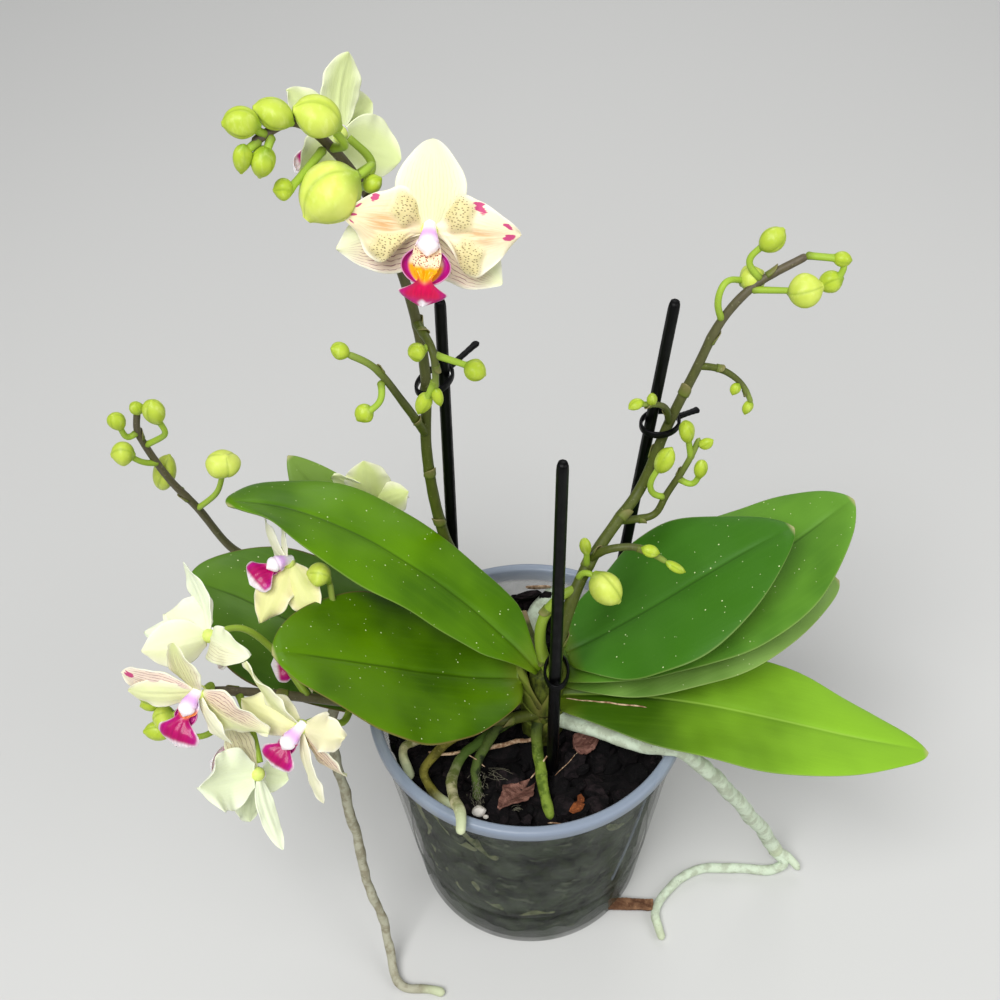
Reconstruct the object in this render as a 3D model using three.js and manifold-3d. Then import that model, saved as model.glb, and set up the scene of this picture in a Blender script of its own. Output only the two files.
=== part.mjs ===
// A miniature moth orchid with peloric blooms, growing in a translucent nursery pot.
// Millimetres, +Z up, the origin at the centre of the pot's flat underside.
import * as THREE from "three";
import { mergeVertices } from "three/addons/utils/BufferGeometryUtils.js";
import Module from "manifold-3d";

const wasm = await Module();
wasm.setup();

// Driving dimensions of the pot and its filling
const POT_HEIGHT = 118;
const RIM_RADIUS = 60;
const BASE_RADIUS = 47.4;
const SHOULDER_RADIUS = 57.6;
const SHOULDER_Z = 108;
const WALL = 1.3;
const RIM_BAND = 5;
const FLOOR = 1.6;
const POT_SIDES = 30;
const SLOT = { width: 8, height: 4, angles: [-44.5, 75.5, 195.5] };
const MEDIUM_TOP = 103;

// How close two separate pieces come, and the least thickness of a petal
const CLEARANCE = 0.35;
const TEPAL_THICKNESS = 0.8;
const TEPAL_START = 0.06;
const TEPAL_ROWS = 4;

// Leaf build: the gutter along the midrib, the droop of the halves and the flesh
const LEAF_FOLD = 0.2;
const LEAF_DROOP = 0.11;
const LEAF_RIB_THICKNESS = 2.6;
const LEAF_EDGE_THICKNESS = 1.1;
const LEAF_BASE_SHARE = 0.22;
const LEAF_ROWS = 9;
const LEAF_COLUMNS = 4;

const GREEN = { color: 0x3f7a17, roughness: 0.35, metalness: 0 };
const STEM_GREEN = { color: 0x5f6b2c, roughness: 0.5, metalness: 0 };
const CREAM = { color: 0xe9ecc4, roughness: 0.55, metalness: 0 };
const MAGENTA = { color: 0xb01560, roughness: 0.45, metalness: 0 };
const ROOT_GREY = { color: 0xa9b49a, roughness: 0.8, metalness: 0 };
const ROOT_GREEN = { color: 0x6f8f3a, roughness: 0.6, metalness: 0 };
const BARK = { color: 0x2b1d18, roughness: 0.95, metalness: 0 };
const BARK_RED = { color: 0x6e4234, roughness: 0.9, metalness: 0 };
const PLASTIC_BLACK = { color: 0x0b0c0e, roughness: 0.4, metalness: 0 };
const PLASTIC_FROSTED = { color: 0xb9c4c6, roughness: 0.45, metalness: 0 };

const vec = (p) => new THREE.Vector3(...p);

// A closed geometry as a solid, with collapsed triangles left out.
function solidOf(geometry) {
  const bare = geometry.clone();
  bare.deleteAttribute("normal");
  bare.deleteAttribute("uv");
  const merged = mergeVertices(bare, 1e-4);
  const kept = [];
  const index = merged.index.array;
  for (let i = 0; i < index.length; i += 3) {
    const [a, b, c] = [index[i], index[i + 1], index[i + 2]];
    if (a !== b && b !== c && a !== c) kept.push(a, b, c);
  }
  return new wasm.Manifold(
    new wasm.Mesh({
      numProp: 3,
      vertProperties: new Float32Array(merged.attributes.position.array),
      triVerts: new Uint32Array(kept),
    }),
  );
}

function solidFromArrays(points, faces) {
  const geometry = new THREE.BufferGeometry();
  geometry.setAttribute("position", new THREE.Float32BufferAttribute(points, 3));
  geometry.setIndex(faces);
  return solidOf(geometry);
}

function geometryOf(solid) {
  const mesh = solid.getMesh();
  const geometry = new THREE.BufferGeometry();
  geometry.setAttribute("position", new THREE.BufferAttribute(mesh.vertProperties, 3));
  geometry.setIndex(new THREE.BufferAttribute(mesh.triVerts, 1));
  geometry.computeVertexNormals();
  return geometry;
}

const joined = (solids) => solids.reduce((whole, piece) => whole.add(piece));

function largestBody(solid) {
  const bodies = solid.decompose();
  return bodies.reduce((best, body) => (body.volume() > best.volume() ? body : best));
}

// Which way is out along a run of steps: back at its first, on at its last.
const outwards = (i, steps) => (i === 0 ? -1 : i === steps ? 1 : 0);

// A closed tapered tube through the given points; radiusAt takes 0 at the start to 1 at the end.
function tube(points, radiusAt, steps, sides, grow = 0) {
  const curve = new THREE.CatmullRomCurve3(points.map(vec), false, "centripetal");
  const frames = curve.computeFrenetFrames(steps, false);
  const out = [];
  const faces = [];
  for (let i = 0; i <= steps; i++) {
    const centre = curve.getPointAt(i / steps);
    centre.addScaledVector(frames.tangents[i], grow * outwards(i, steps));
    for (let j = 0; j < sides; j++) {
      const angle = (2 * Math.PI * j) / sides;
      const spoke = frames.normals[i].clone().multiplyScalar(Math.cos(angle));
      spoke.addScaledVector(frames.binormals[i], Math.sin(angle));
      out.push(...centre.clone().addScaledVector(spoke, radiusAt(i / steps) + grow).toArray());
    }
  }
  for (let i = 0; i < steps; i++) {
    for (let j = 0; j < sides; j++) {
      const [a, b] = [i * sides + j, i * sides + ((j + 1) % sides)];
      faces.push(a, b, b + sides, a, b + sides, a + sides);
    }
  }
  const [first, last] = [out.length / 3, out.length / 3 + 1];
  for (const i of [0, steps]) {
    const centre = curve.getPointAt(i / steps);
    out.push(...centre.addScaledVector(frames.tangents[i], grow * outwards(i, steps)).toArray());
  }
  for (let j = 0; j < sides; j++) {
    const next = (j + 1) % sides;
    faces.push(first, next, j, last, steps * sides + j, steps * sides + next);
  }
  return solidFromArrays(out, faces);
}

const taper = (start, end) => (t) => start + (end - start) * t;

// A closed blade about a sheet: sheet(u, v) gives a point, its normal, tangent and half thickness.
function blade(sheet, rows, columns, grow, spacing = (t) => t) {
  const out = [];
  const faces = [];
  const across = columns + 1;
  const layer = (rows + 1) * across;
  for (const side of [1, -1]) {
    for (let i = 0; i <= rows; i++) {
      for (let j = 0; j <= columns; j++) {
        const { point, tangent, normal, half } = sheet(spacing(i / rows), (2 * j) / columns - 1);
        point.addScaledVector(tangent, grow * outwards(i, rows));
        out.push(...point.addScaledVector(normal, side * (half + grow)).toArray());
      }
    }
  }
  const quad = (a, b, c, d) => faces.push(a, c, b, a, d, c);
  for (let i = 0; i < rows; i++) {
    for (let j = 0; j < columns; j++) {
      const a = i * across + j;
      const [b, c, d] = [a + 1, a + across + 1, a + across];
      faces.push(a, b, c, a, c, d);
      faces.push(layer + a, layer + c, layer + b, layer + a, layer + d, layer + c);
    }
    const [near, far] = [i * across, i * across + columns];
    quad(near, layer + near, layer + near + across, near + across);
    quad(far + across, layer + far + across, layer + far, far);
  }
  for (let j = 0; j < columns; j++) {
    const end = rows * across + j;
    quad(j + 1, layer + j + 1, layer + j, j);
    quad(end, layer + end, layer + end + 1, end + 1);
  }
  return solidFromArrays(out, faces);
}

// A leaf follows a cubic curve from its base to its tip, widest near the middle.
function leaf({ curve, width, skew, blunt, twist }, grow) {
  const rib = new THREE.CubicBezierCurve3(...curve.map(vec));
  const up = new THREE.Vector3(0, 0, 1);
  const sheet = (u, v) => {
    const tangent = rib.getTangent(u);
    const side = tangent.clone().cross(up).normalize();
    const normal = side.clone().cross(tangent).normalize();
    const turn = THREE.MathUtils.lerp(twist[0], twist[1], u);
    side.applyAxisAngle(tangent, -turn);
    normal.applyAxisAngle(tangent, -turn);
    const swell = Math.max(Math.sin(Math.PI * u ** skew), 1e-6) ** blunt;
    const share = swell + LEAF_BASE_SHARE * (1 - u) ** 6;
    const reach = Math.max((width / 2) * share, 1) + grow;
    const lift = reach * (LEAF_FOLD * Math.abs(v) - LEAF_DROOP * v * v);
    const point = rib.getPoint(u).addScaledVector(side, reach * v).addScaledVector(normal, lift);
    const thick = THREE.MathUtils.lerp(LEAF_RIB_THICKNESS, LEAF_EDGE_THICKNESS, Math.abs(v));
    return { point, tangent, normal, half: thick / 2 };
  };
  return blade(sheet, LEAF_ROWS, LEAF_COLUMNS, grow, (t) => 1 - (1 - t) ** 1.4);
}

// A petal or sepal reaches from the bloom's hub to its tip, bowed towards the bloom's face.
function tepal(hub, face, { reach, width, bow = 2, cup = 0.12 }, grow) {
  const along = vec(reach);
  const sheet = (u, v) => {
    const point = vec(hub).addScaledVector(along, TEPAL_START + (1 - TEPAL_START) * u);
    point.addScaledVector(face, 4 * bow * u * (1 - u));
    const tangent = along.clone().addScaledVector(face, 4 * bow * (1 - 2 * u)).normalize();
    const side = tangent.clone().cross(face).normalize();
    const normal = side.clone().cross(tangent).normalize();
    const share = Math.max(Math.sin(Math.PI * (0.02 + 0.98 * u)), 1e-6) ** 0.65;
    const half = Math.max((width / 2) * share, 0.8) + grow;
    point.addScaledVector(side, half * v).addScaledVector(normal, -cup * half * Math.abs(v));
    return { point, tangent, normal, half: TEPAL_THICKNESS / 2 };
  };
  return blade(sheet, TEPAL_ROWS, 2, grow);
}

// The bloom's own axes: sideways, up towards the dorsal sepal, and forward.
function bloomFrame({ hub, face, up }) {
  const forward = vec(face).normalize();
  const upward = vec(up);
  upward.addScaledVector(forward, -upward.dot(forward)).normalize();
  const sideways = upward.clone().cross(forward);
  const at = (s, u, f) =>
    vec(hub)
      .addScaledVector(sideways, s)
      .addScaledVector(upward, u)
      .addScaledVector(forward, f);
  return { forward, upward, sideways, at };
}

const HUB_RADIUS = 2.8;
const COLUMN_RADIUS = 2.1;

// Sepals, petals and column grow together from the hub.
function bloomCup(bloom, grow) {
  const forward = vec(bloom.face).normalize();
  const { at } = bloomFrame({ ...bloom, ...bloom.lip });
  const hub = new THREE.OctahedronGeometry(HUB_RADIUS + grow, 0);
  hub.translate(...bloom.hub);
  const pieces = bloom.tepals.map((t) => tepal(bloom.hub, forward, t, grow));
  const column = [at(0, 0.5, 0), at(0, -2, 8)].map((p) => p.toArray());
  pieces.push(solidOf(hub), tube(column, () => COLUMN_RADIUS, 1, 5, grow));
  return joined(pieces);
}

// The lip: a claw that widens into the midlobe, between two upright side lobes.
function bloomLip(bloom, grow) {
  const { size = 1, ...pose } = bloom.lip;
  const { sideways, at } = bloomFrame({ ...bloom, ...pose });
  const local = (s, u, f) => at(s * size, u * size, f * size);
  const route = [local(0, -2.6, 2), local(0, -7.5, 8), local(0, -11.5, 9), local(0, -17, 7.5)];
  const midline = new THREE.CatmullRomCurve3(route);
  const midlobe = (u, v) => {
    const tangent = midline.getTangent(u);
    const normal = sideways.clone().cross(tangent).normalize();
    const half = size * (1.6 + 4.6 * Math.max(0, (u - 0.45) / 0.55) ** 0.8) + grow;
    const point = midline.getPoint(u).addScaledVector(sideways, half * v);
    return { point, tangent, normal, half: TEPAL_THICKNESS / 2 };
  };
  const pieces = [blade(midlobe, 4, 2, grow)];
  for (const hand of [-1, 1]) {
    const flap = (u, v) => {
      const lower = local(hand * (0.6 + 5.2 * u), -7 - 2 * u, 6 + 4 * u);
      const upper = local(hand * (1.4 + 4.6 * u), -6 + 5 * u ** 0.6, 5.5 + 5.5 * u);
      const span = upper.clone().sub(lower);
      const middle = lower.clone().add(upper).multiplyScalar(0.5);
      const lean = local(hand * 5.2, -2, 4).sub(local(0, 0, 0)).normalize();
      const normal = span.clone().normalize().cross(lean).normalize();
      const length = span.length();
      const point = middle.addScaledVector(span.normalize(), (v * (length + 2 * grow)) / 2);
      return { point, tangent: lean, normal, half: TEPAL_THICKNESS / 2 };
    };
    const made = blade(flap, 2, 1, grow);
    pieces.push(made.volume() < 0 ? blade((u, v) => flap(u, -v), 2, 1, grow) : made);
  }
  return joined(pieces);
}

// A bud is an egg on a thin stalk that leaves its stem at the route's first point.
const BUD_SHAPE = [0.4, 0.96, 0.96, 0.3];
const BUD_SIDES = 5;
const SMALL_BUD = { width: 5, sides: 4 };
const BUD_SINK = 0.6;

function bud({ at, to, width, stalk }, grow) {
  const steps = BUD_SHAPE.length - 1;
  const sides = width < SMALL_BUD.width ? SMALL_BUD.sides : BUD_SIDES;
  const swell = (t) => (width / 2) * BUD_SHAPE[Math.round(t * steps)];
  const egg = tube([at, to], swell, steps, sides, grow);
  if (!stalk) return egg;
  const inside = vec(at).lerp(vec(to), BUD_SINK / 2).toArray();
  const stem = tube([...stalk, inside], taper(1.1, 0.9), stalk.length, 3, grow);
  return egg.add(stem);
}

// A flower spike: its main stem, the branches, the stalks of open blooms and the buds, grown as one.
function spike({ stem, branches = [], stalks = [], buds = [] }, grow) {
  const [route, start, end, steps] = stem;
  const pieces = [tube(route, taper(start, end), steps, 5, grow)];
  for (const [points, from, to] of branches) {
    pieces.push(tube(points, taper(from, to), points.length, 4, grow));
  }
  for (const points of stalks) {
    pieces.push(tube(points, taper(1.4, 1.2), points.length, 4, grow));
  }
  for (const one of buds) pieces.push(bud(one, grow));
  return largestBody(joined(pieces));
}

function lathe(profile, sides) {
  const geometry = new THREE.LatheGeometry(profile.map((p) => new THREE.Vector2(...p)), sides);
  geometry.rotateX(Math.PI / 2);
  return solidOf(geometry);
}

const outerRadius = (z) => THREE.MathUtils.mapLinear(z, 0, SHOULDER_Z, BASE_RADIUS, SHOULDER_RADIUS);

function pot() {
  const band = POT_HEIGHT - RIM_BAND;
  const body = lathe(
    [
      [0, 0],
      [BASE_RADIUS - 0.8, 0],
      [BASE_RADIUS, 1],
      [SHOULDER_RADIUS, SHOULDER_Z],
      [RIM_RADIUS, band],
      [RIM_RADIUS, POT_HEIGHT - 1],
      [RIM_RADIUS - 1.2, POT_HEIGHT],
      [RIM_RADIUS - 3, POT_HEIGHT],
      [RIM_RADIUS - 4, POT_HEIGHT - 1],
      [SHOULDER_RADIUS - WALL, band - 2],
      [outerRadius(FLOOR) - WALL, FLOOR],
      [0, FLOOR],
    ],
    POT_SIDES,
  );
  const slots = SLOT.angles.map((angle) => {
    const box = new THREE.BoxGeometry(24, SLOT.width, SLOT.height);
    box.translate(BASE_RADIUS - 2, 0, SLOT.height / 2 + FLOOR);
    box.rotateZ(THREE.MathUtils.degToRad(angle));
    return solidOf(box);
  });
  return slots.reduce((solid, slot) => solid.subtract(slot), body);
}

// A repeatable draw of numbers from 0 to 1
function drawer(seed) {
  let state = seed;
  return () => {
    state = (state * 16807) % 2147483647;
    return state / 2147483647;
  };
}

// A bark chip is a flat five-sided wedge turned any way.
function chip([x, y, z], [length, width, height], [rx, ry, rz], grow = 0) {
  const box = new THREE.CylinderGeometry(width * 0.42 + grow, width * 0.5 + grow, height + 2 * grow, 5);
  box.scale(length / width, 1, 1);
  box.rotateX(Math.PI / 2);
  box.applyMatrix4(new THREE.Matrix4().makeRotationFromEuler(new THREE.Euler(rx, ry, rz)));
  box.translate(x, y, z);
  return solidOf(box);
}

// The bark filling is a core with chips set over its top, in a sunflower's order.
const CHIPS = 17;
const CHIP_FIELD_RADIUS = 46;
const CHIP_SIZE = { length: [11, 18], width: [7, 11], height: [4, 6] };
const CHIP_TILT = 0.45;
const CHIP_RISE = [-0.5, 1.5];
const GOLDEN_ANGLE = Math.PI * (3 - Math.sqrt(5));
const MEDIUM_GAP = { side: 0.6, floor: 0.4 };

function medium() {
  const inner = (z) => outerRadius(z) - WALL - MEDIUM_GAP.side;
  const low = FLOOR + MEDIUM_GAP.floor;
  const core = lathe(
    [
      [0, low],
      [inner(low), low],
      [inner(MEDIUM_TOP), MEDIUM_TOP],
      [0, MEDIUM_TOP],
    ],
    POT_SIDES,
  );
  const draw = drawer(7);
  const between = ([low, high]) => THREE.MathUtils.lerp(low, high, draw());
  const pieces = [core];
  for (let i = 0; i < CHIPS; i++) {
    const radius = CHIP_FIELD_RADIUS * Math.sqrt((i + 0.5) / CHIPS);
    const angle = i * GOLDEN_ANGLE;
    const centre = [radius * Math.cos(angle), radius * Math.sin(angle), MEDIUM_TOP + between(CHIP_RISE)];
    const size = [between(CHIP_SIZE.length), between(CHIP_SIZE.width), between(CHIP_SIZE.height)];
    const tilt = [-CHIP_TILT, CHIP_TILT];
    pieces.push(chip(centre, size, [between(tilt), between(tilt), between([0, 2 * Math.PI])]));
  }
  return joined(pieces);
}

// A straight round stick, a little thinner at its top.
const STAKE_RADIUS = 2.2;
const STAKE_TOP_RADIUS = 1.8;
const stake = (from, to) => (grow) => tube([from, to], taper(STAKE_RADIUS, STAKE_TOP_RADIUS), 1, 8, grow);

// A ring clip holds a spike to its stake, with a thumb lever on one side.
function clip({ centre, turn, length, width, lever }) {
  const bar = 1.1;
  const height = 2.6;
  const outline = (rx, ry) => {
    const path = new THREE.Shape();
    path.absellipse(0, 0, rx, ry, 0, 2 * Math.PI, false, 0);
    return path;
  };
  const shape = outline(length / 2, width / 2);
  shape.holes.push(outline(length / 2 - bar, width / 2 - bar));
  const ring = new THREE.ExtrudeGeometry(shape, { depth: height, bevelEnabled: false, curveSegments: 6 });
  ring.translate(0, 0, -height / 2);
  const arm = new THREE.BoxGeometry(lever, height * 0.8, 1.6);
  arm.translate(length / 2 + lever / 2 - bar * 0.7, 0, 0);
  const place = new THREE.Matrix4().makeRotationFromEuler(new THREE.Euler(...turn));
  place.setPosition(...centre);
  return solidOf(ring.applyMatrix4(place)).add(solidOf(arm.applyMatrix4(place)));
}

// Places, in millimetres

const CROWN = { x: 5, y: -9, radius: 7, foot: 96, middle: 120, top: 142 };

const STAKES = {
  stake_front: [[7, -28, 62], [10, -20, 260]],
  stake_right: [[30, 36, 62], [46, 29, 276]],
  stake_left: [[-27.5, 41, 82], [-24, 36, 274]],
};

const LEAVES = {
  leaf_left_upper: {
    curve: [[3, -11, 144], [-38, 22, 176], [-82, 33, 192], [-99, 20, 202]],
    width: 42, skew: 1.03, blunt: 0.59, twist: [-0.08, -0.32],
  },
  leaf_left_front: {
    curve: [[-3, -10, 138], [-36, -13, 143], [-58, -22, 171], [-82, -30, 187]],
    width: 61, skew: 1.03, blunt: 0.61, twist: [0.08, 0],
  },
  leaf_left_back: {
    curve: [[-3, -10, 131], [-65, -10, 147], [-98, 26, 146], [-120, 19, 163]],
    width: 59, skew: 1.13, blunt: 0.63, twist: [0.02, -0.03],
  },
  leaf_left_tip: {
    curve: [[-2, -6, 126], [-35, 22, 128], [-64, 54, 142], [-87, 69, 175]],
    width: 34, skew: 1.2, blunt: 0.7, twist: [0, 0.2],
  },
  leaf_right_upper: {
    curve: [[14, -3, 143], [37, 2, 151], [52, 2, 171], [92, 16, 186]],
    width: 57, skew: 1.12, blunt: 0.66, twist: [0.03, 0.01],
  },
  leaf_right_middle: {
    curve: [[11, -5, 137], [55, 1, 154], [92, 23, 159], [117, 33, 180]],
    width: 58, skew: 1.12, blunt: 0.63, twist: [0.04, 0.18],
  },
  leaf_right_lower: {
    curve: [[11, -3, 132], [41, -1, 140], [72, 15, 149], [116, 24, 145]],
    width: 56, skew: 1.13, blunt: 0.64, twist: [0, 0.02],
  },
  leaf_right_front: {
    curve: [[10, -13, 131], [58, -16, 137], [83, -25, 127], [143, -30, 112]],
    width: 49, skew: 1.06, blunt: 0.62, twist: [0.01, 0.13],
  },
};

const SPIKES = {
  spike_tall: {
    stem: [
      [
        [7, -5, 130], [-2, 8, 139], [-14, 22, 145], [-26, 33, 158], [-30, 33.5, 178], [-32, 33, 213],
        [-30, 31, 248], [-32, 28, 280], [-39, 22, 318], [-47, 16, 340], [-55, 9, 353], [-64, 0, 353],
      ],
      2.6, 1.3, 17,
    ],
    branches: [
      [[[-32, 32, 222], [-37, 24, 243], [-45, 20, 263], [-52, 19, 269]], 1.6, 1.1],
      [[[-31, 28, 272], [-26, 15, 272], [-26, 14, 258]], 1.5, 1],
    ],
    stalks: [
      [[-36, 25, 302], [-34, 14, 312], [-24, 4, 324]],
      [[-42, 20, 326], [-38, 24, 330], [-44, 26, 337]],
    ],
    buds: [
      { at: [-61, 0, 357.5], to: [-70, -1, 359], width: 7, stalk: [[-61, 3, 353]] },
      { at: [-54, 4, 355], to: [-63, 4, 360], width: 8, stalk: [[-57, 7, 353]] },
      { at: [-43, 6, 352], to: [-54, 6, 358], width: 9.5, stalk: [[-47.5, 15.5, 341], [-43, 10, 345]] },
      { at: [-40, 5, 340], to: [-54, 0, 330.5], width: 14, stalk: [[-43, 19, 330], [-37, 12, 338]] },
      { at: [-65.5, -2, 354], to: [-67.5, -2, 346], width: 4.4, stalk: [[-62, 1.5, 353]] },
      { at: [-60.5, -1, 352], to: [-63.5, -1, 344], width: 6.4, stalk: [[-59.5, 3.5, 353]] },
      { at: [-56, 1, 338.5], to: [-61, 0, 339.5], width: 5.2, stalk: [[-49, 14, 342], [-54, 6, 340]] },
      { at: [-40, 9, 333], to: [-35, 9, 336], width: 4.4, stalk: [[-42, 20, 326]] },
      { at: [-51, 19, 268], to: [-56, 18, 272], width: 5 },
      { at: [-46, 16, 249], to: [-51, 15, 245], width: 5.6, stalk: [[-43, 21, 256], [-43, 17, 251]] },
      { at: [-28, 15, 272], to: [-33, 13, 273], width: 6, stalk: [[-27, 18, 272]] },
      { at: [-17, 14, 268], to: [-11, 13, 264], width: 6.6, stalk: [[-26, 15, 271]] },
      { at: [-28, 14, 256], to: [-32, 14, 248], width: 4.6, stalk: [[-26, 14, 262]] },
      { at: [-26, 14, 259], to: [-25, 13, 252], width: 3.4 },
    ],
  },
  spike_left: {
    stem: [
      [
        [5, -5, 120], [-22, 14, 124], [-52, 32, 129], [-82, 46, 135], [-101, 49, 138.5], [-109.5, 48, 146],
        [-118.5, 46.5, 173], [-124.6, 45, 189.5], [-128.5, 42.5, 210], [-128.9, 41, 219], [-126.6, 40, 228],
      ],
      2.4, 1.3, 12,
    ],
    stalks: [[[-55, 33.5, 129.5], [-57, 44, 138], [-57, 55, 151]]],
    buds: [
      {
        at: [-132.5, 38, 222], to: [-134, 37, 230], width: 5.4,
        stalk: [[-128.9, 41, 218], [-132, 38.5, 217]],
      },
      { at: [-126, 40, 227], to: [-126, 39, 233], width: 4.4 },
      {
        at: [-120.5, 38, 224], to: [-120.1, 38, 235], width: 7,
        stalk: [[-128.2, 42.5, 210], [-121.7, 40, 215.6], [-118.4, 38, 220]],
      },
      { at: [-131, 38, 210], to: [-139, 37, 211], width: 8, stalk: [[-126.5, 44, 199.5], [-130, 40, 204]] },
      { at: [-130.4, 50, 180], to: [-124, 50, 197], width: 8.6, stalk: [[-121.3, 46, 182]] },
      {
        at: [-104, 41, 197], to: [-101, 39, 207], width: 11,
        stalk: [[-118.3, 46.5, 172.5], [-113, 44, 179], [-108, 42, 186]],
      },
    ],
  },
  spike_low: {
    stem: [
      [
        [3, -14, 122], [-12, -20, 128], [-30, -23, 137], [-47, -26, 147], [-62, -28, 155],
        [-78, -29, 161], [-92, -30, 166], [-104, -33, 172], [-114, -36, 174],
      ],
      2.5, 1.5, 11,
    ],
    branches: [[[[-52, -27, 150], [-60, -14, 159], [-66, 0, 169], [-67, 6, 178]], 1.5, 1.1]],
    stalks: [
      [[-74, -29, 160], [-86, -16, 171], [-95, -16, 183], [-105, -22, 186]],
      [[-104, -33, 172], [-102, -36, 180], [-103, -41, 184]],
      [[-60, -28, 154], [-62, -42, 164], [-67, -46, 174], [-72, -48, 174]],
      [[-96, -31, 168], [-92, -40, 160], [-89, -50, 155]],
      [[-60, -14, 159], [-70, -2, 172], [-78, 9, 182]],
      [[-66, -28.5, 157], [-70, -22, 163], [-74, -20, 165]],
    ],
    buds: [
      { at: [-117, -38, 177], to: [-126, -38, 178], width: 6.5, stalk: [[-112, -36, 174]] },
      { at: [-119, -36, 171], to: [-127, -36, 169], width: 6, stalk: [[-112, -36, 173]] },
      {
        at: [-115, -41, 172], to: [-120.5, -43, 166.5], width: 8.5,
        stalk: [[-108, -35, 173], [-111, -39.5, 173]],
      },
      {
        at: [-118, -40, 158], to: [-127, -41, 161.5], width: 6.6,
        stalk: [[-101, -33, 171], [-103, -38, 160], [-108, -40, 156]],
      },
      { at: [-66, 4, 181], to: [-74, 5, 184], width: 8.5, stalk: [[-67, 6, 177]] },
    ],
  },
  spike_right: {
    stem: [
      [
        [7, -12, 132], [9, -16, 148], [9, -17, 160], [13, -10, 176], [20, 0, 188], [31, 13, 196],
        [39, 22, 201], [47.7, 29.5, 224], [55.4, 34, 242.8], [62.7, 38, 260.5], [72.2, 41.5, 271],
        [88, 45, 279],
      ],
      2.7, 1.4, 16,
    ],
    branches: [
      [[[16, -5, 183], [11, -7, 182], [5, -10, 174], [4, -12, 163]], 1.3, 1],
      [[[21, 2, 190], [26, -1, 198], [36, -2, 200], [46, -4, 194]], 1.6, 1],
      [[[56, 34.4, 245], [63, 34, 244], [71, 34, 237], [75, 33, 229]], 1.3, 0.9],
      [[[47.8, 29.4, 225], [45, 25, 237], [36, 20, 243]], 1.2, 0.9],
      [
        [[31, 13, 196], [38, 17, 192], [44.3, 18, 192.6], [47.4, 20, 199.3], [54, 21, 215], [57, 22, 225]],
        1.5, 1,
      ],
    ],
    buds: [
      { at: [22, -5, 192], to: [30, -12, 184], width: 11, stalk: [[17, -3, 186], [19, -4, 191]] },
      { at: [20, 0, 194], to: [19, -2, 205], width: 3.6, stalk: [[20, 0, 189]] },
      {
        at: [68.5, 45.5, 268], to: [75.5, 47, 272], width: 9.4,
        stalk: [[62.7, 38, 260.5], [60.5, 37.5, 268], [62.5, 40, 274]],
      },
      { at: [72.5, 44, 282.5], to: [79.5, 46, 288.5], width: 7, stalk: [[74, 42, 272.5], [69.3, 43.5, 279]] },
      { at: [81, 36, 272], to: [91, 34, 276], width: 9.6, stalk: [[71, 41, 269.7]] },
      { at: [95, 44, 279], to: [101, 43, 278], width: 5, stalk: [[87, 45, 279]] },
      { at: [99, 41, 273], to: [92, 41, 269], width: 6.5, stalk: [[87, 45, 279], [99, 42, 278]] },
      { at: [37, -3, 201], to: [43, -4, 199], width: 3.8 },
      { at: [45, -4, 195], to: [52, -5, 190], width: 3.2 },
      { at: [70, 33, 238], to: [68, 32, 234], width: 3.2 },
      { at: [75, 33, 230], to: [73, 32, 225], width: 3.6 },
      { at: [38, 21, 243], to: [33, 19, 242], width: 3.4 },
      { at: [41.5, 22.8, 240.3], to: [40, 20, 246], width: 3.4 },
      {
        at: [43.9, 20, 211.8], to: [48, 20, 223], width: 6,
        stalk: [[47.4, 20, 199.3], [43, 19, 202], [41.8, 19, 208]],
      },
      { at: [53.5, 21, 224], to: [51.5, 20, 234], width: 5.4, stalk: [[55, 21.5, 216]] },
      { at: [57, 21, 222], to: [61, 20, 226], width: 3.6 },
      { at: [58, 19, 209], to: [58, 19, 217.5], width: 4.6, stalk: [[51, 20.6, 208], [56, 19, 205.5]] },
    ],
  },
};

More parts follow.
